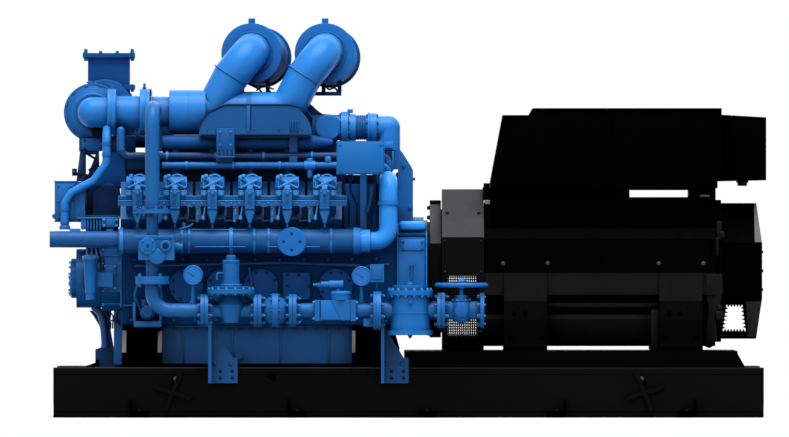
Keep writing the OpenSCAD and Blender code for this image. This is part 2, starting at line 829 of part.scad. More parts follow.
module exhaust_manifold() {
    x = [exhaust_front_x, exhaust_rear_x];
    color([0.08, 0.25, 0.45])
    both_sides() {
        rod_x(x, -exhaust_pipe_y, exhaust_pipe_z, exhaust_manifold_r);
        translate([x[1], -exhaust_pipe_y, exhaust_pipe_z]) rotate([0, 90, 0])
            cylinder(h = 120, r1 = exhaust_manifold_r, r2 = 20);
        difference() {
            intersection() {
                at_cylinders() rod_z(0, -exhaust_pipe_y, [mixture_top_z - 200, exhaust_pipe_z], 24);
                block(x, [-exhaust_pipe_y - 50, -exhaust_pipe_y + 50], [mixture_top_z - 200, exhaust_pipe_z]);
            }
            in_bank() block(bank_x, [-deck_half, deck_half], [deck_d, deck_d + head_h]);
        }
    }
}

// Joins both exhaust manifolds and leads to the turbine
module exhaust_crossover() {
    r = exhaust_manifold_r + 6;
    x0 = exhaust_front_x - 70;
    branch_r = 60;
    color([0.08, 0.25, 0.45]) {
        block([x0, exhaust_front_x], [-exhaust_pipe_y - r, exhaust_pipe_y + r],
            [exhaust_pipe_z - r, exhaust_pipe_z + r + 20]);
        rod_x([turbine_x + turbo_r + 8, x0], exhaust_y, exhaust_pipe_z + branch_r / 2, branch_r);
    }
}

// A long rounded casing above each exhaust manifold, on two brackets that also clip the small pipes
module manifold_shields() {
    x0 = crankcase_x + 486;
    x1 = x0 + 680;
    z0 = exhaust_pipe_z + exhaust_manifold_r + 2;
    h = shaft_z + 1035 - z0;
    corner_r = h - 10;
    color([0.15, 0.43, 0.74])
    both_sides() {
        translate([0, shield_y[1], 0]) rotate([90, 0, 0]) linear_extrude(shield_y[1] - shield_y[0]) {
            translate([x0 + corner_r, z0]) square([x1 - x0 - 2 * corner_r, h]);
            intersection() {
                translate([x0 + corner_r, z0]) circle(h);
                translate([x0 - 10, z0]) square([h, h]);
            }
            intersection() {
                translate([x1 - corner_r, z0]) circle(h);
                translate([x1 - corner_r, z0]) square([h, h]);
            }
        }
        difference() {
            for (x = [[x0 + 96, x0 + 202], [x1 - 130, x1 - 80]]) {
                block(x, [-upper_pipe[0] - 5, -exhaust_pipe_y - 40], [upper_pipe[1], z0]);
                block(x, [-lower_pipe[0], -upper_pipe[0]], [lower_pipe[1], upper_pipe[1]]);
            }
            rod_x([x0, x1], -exhaust_pipe_y, exhaust_pipe_z, exhaust_manifold_r);
            for (pipe = [upper_pipe, lower_pipe])
                rod_x([x0, x1], -pipe[0], pipe[1], pipe[2]);
        }
    }
}

// One small pipe along a bank, which turns down into the coolant crossover at its rear end
module side_pipe(pipe) {
    turn = 55;
    y = -pipe[0];
    rod_x([exhaust_front_x, riser_x - turn], y, pipe[1], pipe[2]);
    bend_xz([riser_x - turn, y, pipe[1] - turn], 0, 90, turn, pipe[2]);
    rod_z(riser_x, y, [crossover_z, pipe[1] - turn], pipe[2]);
}

// The near upper pipe also runs on to the front and rises to the underside of the inlet pipe
module side_pipes() {
    turn = 50;
    x = inlet_pipe_x + upper_pipe[2] + 1;
    y = -upper_pipe[0];
    z = upper_pipe[1];
    r = upper_pipe[2];
    top = inlet_z - inlet_r - 10;
    color([0.12, 0.36, 0.63])
    difference() {
        union() {
            both_sides() {
                side_pipe(upper_pipe);
                side_pipe(lower_pipe);
            }
            rod_x([x + turn, exhaust_front_x], y, z, r);
            bend_xz([x + turn, y, z + turn], 180, 90, turn, r);
            rod_z(x, y, [z + turn, top], r);
            translate([x, y, top]) sphere(r);
            rod_y(x, [y, -intake_y], top, r);
        }
        rod_x([inlet_pipe_x, rear_collar_x], -intake_y, inlet_z, inlet_r);
        rod_y(riser_x, [-manifold_y, manifold_y], crossover_z, riser_r);
    }
}

// The point that lies this far along a slope from another point, both as [X, Z]
function along(point, length, tilt) = [point[0] + length * cos(tilt), point[1] + length * sin(tilt)];

// The joint of a filter duct, as [X, Z]
function duct_joint(filter_x) = along([filter_x, filter_z + hood_rise], -hood_l, hood_tilt);

// The space on one side of a duct's joint, from one distance along the duct to another
module joint_space(joint, x) {
    reach = 2 * duct_r;
    translate([joint[0], -intake_y, joint[1]]) rotate([0, -(elbow_tilt + hood_tilt) / 2, 0])
        translate([x[0], -reach, -reach]) cube([x[1] - x[0], 2 * reach, 2 * reach]);
}

// One filter duct: a long leg from the height start_z, a short leg that leans further and bends
// into the filter, and a ring round the joint between them, inside which both legs end
module tilted_elbow(filter_x, start_z) {
    overlap = 30;
    ring_t = 6;
    leg_gap = 1;
    top_z = filter_z + hood_rise;
    joint = duct_joint(filter_x);
    length = (joint[1] - start_z) / sin(elbow_tilt);
    difference() {
        translate([joint[0], -intake_y, joint[1]]) rotate([0, 90 - elbow_tilt, 0])
            translate([0, 0, -length]) cylinder(h = length + overlap, r = duct_r);
        joint_space(joint, [-leg_gap, duct_r]);
    }
    difference() {
        translate([filter_x, -intake_y, top_z]) rotate([0, -hood_tilt, 0]) {
            translate([-hood_l - overlap, 0, 0]) rotate([0, 90, 0])
                cylinder(h = hood_l + overlap - elbow_bend_r, r = duct_r);
            translate([-elbow_bend_r, elbow_bend_r, 0]) rotate(-90)
                rotate_extrude(angle = 90) translate([elbow_bend_r, 0]) circle(duct_r);
            translate([0, elbow_bend_r, 0]) rotate([-90, 0, 0])
                cylinder(h = elbow_collar + 30, r = duct_r);
        }
        joint_space(joint, [-duct_r, leg_gap]);
    }
    translate([joint[0], -intake_y, joint[1]]) rotate([0, 90 - (elbow_tilt + hood_tilt) / 2, 0])
        translate([0, 0, -ring_t / 2]) cylinder(h = ring_t, r = duct_r + 4);
}

module intake_duct_solids() {
    low_bend_r = 135;
    bend_top = intake_z + low_bend_r * (1 - cos(elbow_tilt));
    joint = duct_joint(filter_a_x + filter_pitch);
    bend_end = joint[0] - (joint[1] - bend_top) / tan(elbow_tilt);
    bend_x = bend_end - low_bend_r * sin(elbow_tilt);
    tilted_elbow(filter_a_x, intake_z);
    rod_x([plenum_x0 + plenum_l / 2, bend_x], -intake_y, intake_z, duct_r);
    translate([bend_end, -intake_y, bend_top]) rotate([0, -elbow_tilt, 0])
        bend_xz([0, 0, low_bend_r], 270 - elbow_tilt, elbow_tilt, low_bend_r, duct_r);
    tilted_elbow(filter_a_x + filter_pitch, bend_top);
}

// Two inlet ducts that rise from the plenum and turn into the air filters
module intake_ducts() {
    color([0.25, 0.6, 0.96])
    difference() {
        intake_duct_solids();
        air_filter_solids();
    }
}

// One round filter with an end plate at each end, turned a little about its front face
module filter_can(x, yaw) {
    translate([x, filter_y0, filter_z]) rotate([-2.2, 0, -yaw]) rotate([-90, 0, 0]) {
        cylinder(h = 22, r = filter_r);
        translate([0, 0, 22]) cylinder(h = filter_l - 44, r = filter_r - 12);
        translate([0, 0, filter_l - 22]) cylinder(h = 22, r = filter_r - 4);
        translate([-20, -filter_r - 34, 0]) cube([40, 50, 22]);
    }
}

module air_filter_solids() {
    filter_can(filter_a_x, 6);
    filter_can(filter_a_x + filter_pitch, 3.2);
}

module air_filters() {
    color([0.13, 0.4, 0.68])
    air_filter_solids();
}

// A shelf on posts under the two filters
module filter_support() {
    shelf = [shaft_z + 1094, shaft_z + 1116];
    shelf_x = [filter_a_x - 142, filter_a_x + filter_pitch + 101];
    feet_x = [filter_a_x - 60, filter_a_x + 100, filter_a_x + filter_pitch - 10, filter_a_x + filter_pitch + 90];
    color([0.05, 0.12, 0.22])
    difference() {
        union() {
            block(shelf_x, [20, 500], shelf);
            for (x = [filter_a_x - 22, filter_a_x + 338])
                block([x - 30, x + 30], [60, 120], [cooler_top_z, shelf[0]]);
            for (x = feet_x)
                for (y = [60, 430])
                    block([x - 12, x + 12], [y, y + 30], [shelf[1], filter_z - filter_r + 60]);
        }
        air_filter_solids();
    }
}

module turbocharger() {
    foot_x = turbine_x + turbo_r;
    color([0.17, 0.47, 0.8]) {
        rod_y(compressor_x, [turbo_y, turbo_y + 26], inlet_z, turbo_r - 34);
        rod_y(compressor_x, [turbo_y + 26, turbo_y + 50], inlet_z, turbo_r);
        rod_y(compressor_x, [turbo_y + 50, turbo_y + 130], inlet_z, turbo_r - 14);
        rod_y(turbine_x, [turbo_y + 112, exhaust_y + 88], turbine_z, turbo_r);
        block([foot_x - 120, foot_x + 8], [exhaust_y - 60, exhaust_y + 60], [exhaust_pipe_z - 15, turbine_z]);
    }
}

// The pipe from the plenum drum to the compressor, with a tight elbow at its front end
module turbo_inlet_pipe() {
    color([0.25, 0.6, 0.96])
    difference() {
        union() {
            rod_x([compressor_x, inlet_collar_x], -intake_y, inlet_z, inlet_r - 8);
            translate([compressor_x, -intake_y, inlet_z]) sphere(inlet_r - 8);
            rod_y(compressor_x, [-intake_y, turbo_y], inlet_z, inlet_r - 8);
            rod_x([inlet_collar_x, inlet_pipe_x], -intake_y, inlet_z, inlet_r + 10);
            rod_x([inlet_pipe_x, rear_collar_x], -intake_y, inlet_z, inlet_r);
            rod_x([rear_collar_x, rear_collar_x + 65], -intake_y, inlet_z, inlet_r + 10);
            rod_x([rear_collar_x + 65, plenum_x0], -intake_y, inlet_z, inlet_r - 4);
            rod_x([plenum_x0, plenum_x1], -intake_y, inlet_z, plenum_r);
        }
        intake_duct_solids();
    }
}

module turbo_bracket() {
    x = compressor_x;
    low = shaft_z + 557;
    seat_z = shaft_z + 744;
    color([0.1, 0.3, 0.55])
    difference() {
        union() {
            block([x - 87, x + 49], [-40, 40], [seat_z, seat_z + 87]);
            profile_y([-20, 20], [[x - 81, seat_z], [x + 37, seat_z], [x + 41, low], [x - 104, low]]);
            block([x - 44, x - 14], [-20, 20], [front_plate_z + front_plate_t / 2, low]);
        }
        profile_y([-30, 30], [[x - 52, seat_z - 20], [x + 16, seat_z - 20], [x - 34, low + 35], [x - 52, low + 35]]);
        rod_y(x, [turbo_y - 10, turbo_y + 140], inlet_z, turbo_r);
    }
}

module exhaust_outlet() {
    neck = exhaust_w / 2;
    flange = exhaust_flange_w / 2;
    z0 = turbine_z + 60;
    color([0.09, 0.26, 0.46])
    difference() {
        union() {
            block([exhaust_x - neck, exhaust_x + neck], [exhaust_y - neck, exhaust_y + neck], [z0, exhaust_z - eps]);
            for (z = [z0 + 60, exhaust_z - exhaust_flange_t])
                block([exhaust_x - flange, exhaust_x + flange], [exhaust_y - flange, exhaust_y + flange],
                    [z, z + exhaust_flange_t]);
        }
        block([exhaust_x - neck + exhaust_wall, exhaust_x + neck - exhaust_wall],
            [exhaust_y - neck + exhaust_wall, exhaust_y + neck - exhaust_wall],
            [turbine_z + turbo_r + 20, exhaust_z + eps]);
        for (x = [-1, 1])
            for (y = [-1, 1])
                rod_z(exhaust_x + x * exhaust_hole_pitch / 2, exhaust_y + y * exhaust_hole_pitch / 2,
                    [exhaust_z - exhaust_flange_t - eps, exhaust_z + eps], exhaust_hole_r);
        turbocharger();
    }
}

module charge_pipe() {
    y = -intake_y;
    z = rear_top_z + 140;
    elbow_r = 72;
    drum_r = 82;
    collar_x = crankcase_end - 349;
    drum_x = collar_x - 80;
    bellows_x = collar_x + 45;
    flange_x = bellows_x + 121;
    corner_x = flange_x + 131;
    color([0.2, 0.52, 0.88]) {
        rod_y(drum_x, [y - 68, 100], z, drum_r);
        block([drum_x - 98, drum_x], [-120, 150], [z - drum_r + 6, z + drum_r - 6]);
        block([drum_x - 60, drum_x + 60], [-80, 80], [cooler_top_z, z - 60]);
        rod_x([drum_x, collar_x], y, z, drum_r - 2);
        rod_x([collar_x, bellows_x], y, z, 98);
        rod_x([bellows_x, flange_x], y, z, 74);
        rod_x([flange_x, flange_x + 56], y, z, 90);
        rod_x([flange_x + 56, corner_x], y, z, elbow_r);
        translate([corner_x, y, z]) sphere(elbow_r);
        rod_z(corner_x, y, [rear_top_z, z], elbow_r);
    }
}

module rear_cover() {
    x0 = riser_x + riser_r + 3;
    x1 = crankcase_end + 99;
    lip_x = crankcase_end - 81;
    z0 = shaft_z + 0.6 * bell_r;
    shelf = crossover_z + 69;
    below = crossover_z - riser_r - 2;
    color([0.14, 0.42, 0.72])
    difference() {
        profile_y([-240, 240], [[crankcase_end, z0], [x1, z0], [x1, rear_top_z - 125],
            [x1 - 13, rear_top_z - 100], [x1 - 38, rear_top_z - 60], [x1 - 63, rear_top_z - 20],
            [x1 - 78, rear_top_z], [lip_x, rear_top_z], [lip_x, shelf], [x0, shelf],
            [x0, below], [crankcase_end, below]]);
        rod_x([crankcase_end, bell_end], 0, shaft_z, bell_r);
    }
}

// A box on a bracket that stands on the rear of the crankcase
module control_box() {
    x0 = crankcase_end - 375;
    arm_x = [x0 + 146, x0 + 186];
    y0 = -765;
    z0 = shaft_z + 599;
    arm_z = z0 + 60;
    post_y = [-bank_side - 16, -bank_side + 19];
    color([0.22, 0.54, 0.86])
    difference() {
        union() {
            block([x0, x0 + control_l], [y0, y0 + control_d], [z0, z0 + control_h]);
            block(arm_x, [y0 + control_d, post_y[1]], [arm_z, arm_z + 30]);
            block(arm_x, post_y, [shaft_z + bank_side_rise - 16, arm_z + 30]);
        }
        crankcase_profile([crankcase_x, crankcase_end]);
    }
}

// Gas train, from the mixer at the front to the gas inlet at the right

module flange_x(x, r) {
    rod_x([x, x + flange_t], -train_y, train_z, r);
}

module gas_riser() {
    bend_z = gas_top_z - gas_bend_r;
    color([0.2, 0.5, 0.85])
    difference() {
        union() {
            rod_z(gas_riser_x, -train_y, [high_seam_z, high_seam_z + 13], flange_r + 15);
            rod_z(gas_riser_x, -train_y, [high_seam_z, bend_z], pipe_r);
            bend_yz([gas_riser_x, -train_y + gas_bend_r, bend_z], 90, 90, gas_bend_r, pipe_r);
            rod_y(gas_riser_x, [-train_y + gas_bend_r, -intake_y], gas_top_z, pipe_r);
        }
        turbo_inlet_pipe();
    }
}

module gas_mixer() {
    x = gas_riser_x;
    body_top = mixer_z + 155;
    color([0.16, 0.44, 0.76]) {
        rod_z(x, -train_y, [high_seam_z - 13, high_seam_z], flange_r + 15);
        rod_z(x, -train_y, [body_top, high_seam_z - 13], 36);
        block([x - 86, x + 137], [-train_y - 85, -train_y + 85], [mixer_z, body_top]);
        rod_z(x, -train_y, [low_seam_z, mixer_z], 40);
        rod_z(x, -train_y, [low_seam_z, low_seam_z + flange_t], flange_r + 5);
    }
}

module gas_supply_pipe() {
    x = gas_riser_x;
    bend_z = train_z + gas_bend_r;
    color([0.2, 0.5, 0.85]) {
        rod_z(x, -train_y, [low_seam_z - flange_t, low_seam_z], flange_r + 5);
        rod_z(x, -train_y, [bend_z, low_seam_z - flange_t], pipe_r);
        bend_xz([x + gas_bend_r, -train_y, bend_z], 180, 90, gas_bend_r, pipe_r);
        rod_x([x + gas_bend_r, train_x1], -train_y, train_z, pipe_r);
        flange_x(train_x1, flange_r);
    }
}

module pressure_regulator() {
    x = (train_x1 + 2 * flange_t + regulator_x1) / 2;
    color([0.2, 0.5, 0.84]) {
        flange_x(train_x1 + flange_t, flange_r);
        rod_x([train_x1 + 2 * flange_t, regulator_x1], -train_y, train_z, pipe_r);
        flange_x(regulator_x1, flange_r);
        translate([x, -train_y, train_z]) sphere(74);
        rod_z(x, -train_y, [train_z, train_z + 104], 50);
        rod_z(x, -train_y, [train_z + 104, train_z + 132], 149);
        rod_z(x, -train_y, [train_z + 132, train_z + 150], 124);
        rod_z(x, -train_y, [train_z + 150, train_z + 308], 51);
        rod_z(x, -train_y, [train_z + 308, train_z + 340], 28);
    }
}

module cone_x(x, r1, r2) {
    translate([x[0], -train_y, train_z]) rotate([0, 90, 0]) cylinder(h = x[1] - x[0], r1 = r1, r2 = r2);
}

module check_valve() {
    x0 = regulator_x1 + flange_t;
    x1 = check_x1 + flange_t;
    x = (x0 + x1) / 2;
    color([0.18, 0.47, 0.8]) {
        flange_x(x0, flange_r);
        cone_x([x0 + flange_t, x - 18], 58, 90);
        rod_x([x - 18, x + 18], -train_y, train_z, flange_r + 5);
        cone_x([x + 18, x1 - flange_t], 90, 58);
        flange_x(x1 - flange_t, flange_r);
    }
}

module solenoid_valve() {
    x = (solenoid_x0 + solenoid_x1) / 2;
    half = 65;
    color([0.2, 0.5, 0.84]) {
        flange_x(check_x1 + flange_t, flange_r);
        rod_x([check_x1 + 2 * flange_t, solenoid_x0], -train_y, train_z, pipe_r);
        for (x0 = [solenoid_x0, solenoid_x1 - 30])
            block([x0, x0 + 30], [-train_y - half, -train_y + half], [train_z - half, train_z + half]);
        block([solenoid_x0 + 30, solenoid_x1 - 30], [-train_y - 55, -train_y + 55], [train_z - 60, train_z + 64]);
        rod_z(x + 34, -train_y, [train_z + 64, train_z + 108], 66);
        rod_z(x + 20, -train_y, [train_z + 108, train_z + 140], 18);
        rod_x([x - 90, x - 38], -train_y, train_z + 158, 22);
        rod_x([x - 38, x + 42], -train_y, train_z + 158, 28);
        rod_x([solenoid_x1, gas_filter_x0 - 2 * flange_t], -train_y, train_z, pipe_r);
        flange_x(gas_filter_x0 - 2 * flange_t, flange_r + 20);
    }
}

module gas_filter() {
    x = (gas_filter_x0 + gas_filter_x1) / 2 + 6;
    color([0.18, 0.48, 0.82]) {
        flange_x(gas_filter_x0 - flange_t, flange_r + 20);
        rod_x([gas_filter_x0, gas_filter_x1], -train_y, train_z, inlet_pipe_r);
        rod_z(x, -train_y, [train_z - 140, train_z + 96], gas_filter_r);
        rod_z(x, -train_y, [train_z - 152, train_z - 122], gas_filter_r + 16);
        rod_z(x, -train_y, [train_z + 94, train_z + 126], gas_filter_r + 19);
        rod_z(x, -train_y, [train_z + 126, train_z + 157], gas_filter_r - 12);
        flange_x(gas_filter_x1, inlet_flange_r);
    }
}

module shutoff_valve() {
    x_end = valve_x1 - flange_t;
    color([0.22, 0.54, 0.9])
    difference() {
        union() {
            flange_x(gas_filter_x1 + flange_t, inlet_flange_r);
            rod_x([gas_filter_x1 + 2 * flange_t, x_end], -train_y, train_z, inlet_pipe_r);
            translate([wheel_x, -train_y, train_z]) sphere(78);
            rod_z(wheel_x, -train_y, [train_z, train_z + 76], 46);
            rod_z(wheel_x, -train_y, [train_z + 76, train_z + 95], 40);
            flange_x(x_end, inlet_flange_r);
        }
        rod_x([valve_x1 - gas_bore_l, valve_x1 + eps], -train_y, train_z, gas_bore_r);
        translate([x_end - eps, -train_y, train_z]) rotate([0, 90, 0])
            for (i = [0 : gas_hole_n - 1])
                rotate((i + 0.5) * 360 / gas_hole_n) translate([gas_pcd / 2, 0, 0])
                    cylinder(h = flange_t + 2 * eps, r = gas_hole_r);
        rod_z(wheel_x, -train_y, [train_z + 50, train_z + 96], spindle_r + spindle_gap);
    }
}

module valve_handwheel() {
    color([0.25, 0.58, 0.95])
    translate([wheel_x, -train_y, wheel_z]) {
        rotate_extrude() translate([wheel_r, 0]) circle(wheel_tube_r);
        for (i = [0 : 3])
            rotate(45 + i * 90) rotate([0, 90, 0]) cylinder(h = wheel_r, r = 8);
        translate([0, 0, -20]) cylinder(h = 40, r = 24);
        translate([0, 0, train_z + 58 - wheel_z]) cylinder(h = wheel_z - train_z - 38, r = spindle_r);
    }
}

// Upright under a pipe, foot plate on the rail's side and a gusset between them
module train_bracket(x, foot_l, r) {
    foot = [rail_h - bracket_foot_h + 62, rail_h + 62];
    plate_y = [-rail_outer - bracket_t, -rail_outer];
    difference() {
        block([x, x + bracket_t], [-train_y - 36, -rail_outer], [foot[0], train_z - r / 2]);
        rod_x([x - eps, x + bracket_t + eps], -train_y, train_z, r);
    }
    block([x, x + foot_l], plate_y, foot);
    profile_y(plate_y, [[x, foot[1]], [x + foot_l - 30, foot[1]], [x + bracket_t + 40, foot[1] + 130],
        [x + bracket_t + 15, foot[1] + 190], [x, foot[1] + 190]]);
}

module gas_train_brackets() {
    color([0.16, 0.44, 0.76]) {
        train_bracket(train_x1 + 2 * flange_t, 180, pipe_r);
        train_bracket(gas_filter_x0, 170, inlet_pipe_r);
    }
}

// Two dial gauges on the train and the switch box beside the second one
module gas_gauges() {
    first = [train_x1 - 46, train_z + 219];
    second = [solenoid_x1 + 35, train_z + 212];
    box_x = second[0] + 53;
    y = -train_y;
    color([0.2, 0.48, 0.8])
    difference() {
        union() {
            for (gauge = [first, second]) {
                rod_y(gauge[0], [y - 30, y + 12], gauge[1], 61);
                rod_z(gauge[0], y, [train_z + pipe_r / 2, gauge[1]], 11);
            }
            block([box_x, box_x + 86], [y - 32, y + 32], [second[1] - 37, second[1] + 73]);
            block([second[0], box_x], [y - 10, y + 10], [second[1] - 9, second[1] + 15]);
        }
        rod_x([gas_riser_x, gas_filter_x0], y, train_z, pipe_r);
    }
}

// Flywheel end and alternator

module flywheel_housing() {
    color([0.16, 0.45, 0.76]) {
        rod_x([crankcase_end, bell_end - 24], 0, shaft_z, bell_r);
        rod_x([bell_end - 24, bell_end], 0, shaft_z, bell_r - 20);
    }
}

module adapter_ring() {
    cap_half = adapter_apothem * tan(22.5);
    color([0.03, 0.03, 0.03]) {
        rod_x([bell_end, adapter_x], 0, shaft_z, bell_r - 30);
        octagon_x([adapter_x, adapter_x + adapter_l], shaft_z, adapter_apothem);
        block([adapter_x, adapter_x + adapter_l], [-cap_half, cap_half],
            [shaft_z + adapter_apothem, shaft_z + adapter_apothem + 26]);
        rod_x([adapter_x + adapter_l, barrel_x], 0, shaft_z, adapter_apothem - 30);
    }
}

module drive_end_barrel() {
    color([0.08, 0.08, 0.08])
    difference() {
        octagon_x([barrel_x, frame_x - seat], shaft_z, barrel_apothem);
        octagon_x([barrel_x + barrel_wall, frame_x - barrel_wall], shaft_z, barrel_apothem - barrel_wall);
        block([barrel_x - eps, frame_x + eps], [-barrel_apothem, barrel_apothem], [0, subframe_z]);
        block([barrel_x + 37, barrel_x + 223], [-barrel_apothem - eps, barrel_apothem + eps],
            [shaft_z - 403, shaft_z - 31]);
    }
    color([0.08, 0.08, 0.08])
    block([barrel_x, frame_x - seat], [-200, 200], [subframe_z, subframe_z + barrel_wall]);
}

module alternator_frame_profile(x) {
    z = frame_floor_z;
    profile_x(x, mirrored([
        [180, z], [330, z + 47], [frame_half - 40, z + 170], [frame_half - 40, shaft_z - 200],
        [frame_half - 10, shaft_z - 200], [frame_half - 10, shaft_z - 178], [frame_half - 40, shaft_z - 178],
        [frame_half - 40, shaft_z - 156], [frame_half + 30, shaft_z - 148], [frame_half, shaft_z - 12],
        [frame_half, frame_top_z - 66], [frame_half - 50, frame_top_z]]));
}

module alternator_frame() {
    color([0.05, 0.05, 0.05]) {
        alternator_frame_profile([frame_x, frame_end]);
        octagon_x([frame_x, frame_x + frame_flange_l], shaft_z, cowl_apothem);
        octagon_x([frame_end, cowl_x], shaft_z, cowl_apothem + 20);
    }
}

module alternator_feet() {
    out = rail_outer - 30;
    color([0.06, 0.06, 0.06])
    both_sides()
        for (x = [frame_x + foot_start, frame_x + foot_start + foot_pitch])
            difference() {
                profile_x([x, x + foot_l], [[-300, subframe_z], [-out, subframe_z], [-out, subframe_z + 30],
                    [-out + 60, shaft_z - 303], [-frame_half - 90, shaft_z - 186],
                    [-frame_half - 10, shaft_z - 12], [-300, shaft_z - 12]]);
                alternator_frame_profile([frame_x, frame_end]);
            }
}

module end_cowl() {
    x1 = cowl_x + cowl_l;
    bevel = 34;
    color([0.04, 0.04, 0.04])
    difference() {
        intersection() {
            octagon_x([cowl_x, x1], shaft_z, cowl_apothem);
            profile_y([-cowl_apothem, cowl_apothem], [
                [cowl_x, shaft_z - cowl_apothem], [x1 - bevel, shaft_z - cowl_apothem],
                [x1, shaft_z - 168], [x1, shaft_z + 168],
                [x1 - bevel, shaft_z + cowl_apothem], [cowl_x, shaft_z + cowl_apothem]]);
        }
        octagon_x([cowl_x + cowl_wall, x1 - bevel - cowl_wall], shaft_z, cowl_apothem - cowl_wall);
        profile_y([-cowl_apothem - eps, cowl_apothem + eps], [
            [cowl_x + 6, shaft_z - 378], [cowl_x + 161, shaft_z - 378],
            [cowl_x + 142, shaft_z - 210], [cowl_x + 31, shaft_z - 210]]);
    }
}

module terminal_pedestal() {
    x0 = frame_x + frame_flange_l;
    slot_x = x0 + 868;
    color([0.02, 0.02, 0.02])
    difference() {
        union() {
            block([x0, frame_end], [-terminal_half + 60, terminal_half - 60], [frame_top_z, terminal_z]);
            block([frame_x, x0], [-120, 120], [terminal_z - 75, terminal_z + 31]);
        }
        block([slot_x, slot_x + 372], [-terminal_half, terminal_half], [terminal_z - 56, terminal_z - 12]);
    }
}

module terminal_box() {
    x1 = terminal_x + terminal_l;
    color([0.02, 0.02, 0.02])
    profile_y([-terminal_half, terminal_half], [
        [terminal_x, terminal_z], [x1 - 25, terminal_z], [x1 - 25, terminal_z + 43], [x1, terminal_z + 43],
        [x1, terminal_top_z], [terminal_x + 264, terminal_top_z], [terminal_x + 239, terminal_top_z - 43],
        [terminal_x + 78, terminal_top_z - 43], [terminal_x, terminal_z + 37]]);
}

module cable_outlet_box() {
    x0 = terminal_x + terminal_l;
    z0 = terminal_z + 43;
    color([0.02, 0.02, 0.02])
    profile_y([-outlet_half, outlet_half], [[x0, z0], [x0 + outlet_l, z0 + 6],
        [x0 + outlet_l, z0 + outlet_h - 6], [x0, z0 + outlet_h + 10]]);
}

base_rails();
base_crossmembers();
base_deck();
alternator_subframe();
hold_down_cleats();
lifting_lugs();
crankcase();
crankcase_doors();
oil_pan();
engine_mounts();
gear_cover();
coolant_pump();
oil_centrifuge();
front_support();
front_cabinet();
front_covers();
cylinder_heads();
rocker_covers();
ignition_rails();
coolant_manifolds();
coolant_risers();
thermostat_housing();
mixture_manifold();
mixture_cooler();
oil_cooler();
exhaust_manifold();
exhaust_crossover();
manifold_shields();
side_pipes();
intake_ducts();
air_filters();
filter_support();
turbocharger();
turbo_inlet_pipe();
turbo_bracket();
exhaust_outlet();
charge_pipe();
rear_cover();
control_box();
gas_riser();
gas_mixer();
gas_supply_pipe();
pressure_regulator();
check_valve();
solenoid_valve();
gas_filter();
shutoff_valve();
valve_handwheel();
gas_train_brackets();
gas_gauges();
flywheel_housing();
adapter_ring();
drive_end_barrel();
alternator_frame();
alternator_feet();
end_cowl();
terminal_pedestal();
terminal_box();
cable_outlet_box();
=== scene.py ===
# %% [markdown]
# # Gas generator set
# A V12 gas engine drives an alternator, and both stand on one welded base frame. The engine is
# painted blue all over, castings and pipes alike, and the base and the alternator are black.
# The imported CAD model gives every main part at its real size. This notebook gives those parts
# their paint, and then adds what CAD leaves out: bolts, covers, seams, louvres, wire mesh,
# gauges and small fittings.

# %% Load the frame
import math
from contextlib import contextmanager

import bmesh
import bpy
from mathutils import Matrix, Vector


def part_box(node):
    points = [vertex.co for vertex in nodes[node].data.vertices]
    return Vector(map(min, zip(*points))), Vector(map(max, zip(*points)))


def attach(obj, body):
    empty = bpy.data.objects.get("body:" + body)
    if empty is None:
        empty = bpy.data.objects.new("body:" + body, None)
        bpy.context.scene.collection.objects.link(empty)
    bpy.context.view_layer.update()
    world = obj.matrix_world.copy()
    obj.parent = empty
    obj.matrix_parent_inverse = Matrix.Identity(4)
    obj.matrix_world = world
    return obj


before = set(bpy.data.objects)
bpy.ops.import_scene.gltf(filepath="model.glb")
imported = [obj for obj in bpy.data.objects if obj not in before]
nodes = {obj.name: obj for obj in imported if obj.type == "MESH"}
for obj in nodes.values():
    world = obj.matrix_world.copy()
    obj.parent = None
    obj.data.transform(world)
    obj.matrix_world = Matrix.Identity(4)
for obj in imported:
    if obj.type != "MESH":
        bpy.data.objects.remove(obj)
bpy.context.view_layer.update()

# %% [markdown]
# ## Camera
# The set is seen square from its side, from so far away that almost nothing converges, as in a
# maker's side view. A long lens does this. An orthographic camera would too, but a perspective
# one can be moved round the set later without changing its kind. The view's width is measured at
# the near bank of the engine, because most of what shows stands there.

# %% Camera
view_width = 4.9
view_distance = 120
view_centre = Vector((-0.087, -0.4, 1.234))

camera_data = bpy.data.cameras.new("side_view")
camera_data.sensor_width = 36
camera_data.lens = camera_data.sensor_width * view_distance / view_width
camera_data.clip_end = 250
camera = bpy.data.objects.new("side_view", camera_data)
camera.location = view_centre - Vector((0, view_distance, 0))
camera.rotation_euler = (math.radians(90), 0, 0)
bpy.context.scene.collection.objects.link(camera)
bpy.context.scene.camera = camera
print("lens in mm:", round(camera_data.lens, 1))

# %% [markdown]
# ## Light
# A painted machine looks solid when its tops are clearly brighter than its sides. A broad lamp
# overhead does most of the work, a weaker one in front keeps the near side readable, and a
# third one stands behind for the far side. They are suns with wide angles, because a sun
# lights the floor evenly and its shadows still have soft edges. The sky only fills in, and the
# camera and every reflection see it plain white.

# %% Helpers for shader nodes
def add_node(tree, kind, settings=None, **inputs):
    made = tree.nodes.new("ShaderNode" + kind)
    for name, value in (settings or {}).items():
        setattr(made, name, value)
    for name, value in inputs.items():
        connect(tree, value, made.inputs[name.replace("_", " ")])
    return made


def connect(tree, value, socket):
    if isinstance(value, bpy.types.NodeSocket):
        tree.links.new(value, socket)
    else:
        socket.default_value = value


def calculate(tree, operation, *values):
    made = add_node(tree, "Math", {"operation": operation})
    for value, socket in zip(values, made.inputs):
        connect(tree, value, socket)
    return made.outputs[0]


def spread(tree, value, start, end, low=0.0, high=1.0, kind="LINEAR"):
    """The value stretched from the range start to end onto the range low to high."""
    return add_node(tree, "MapRange", {"interpolation_type": kind}, Value=value, From_Min=start,
                    From_Max=end, To_Min=low, To_Max=high).outputs[0]


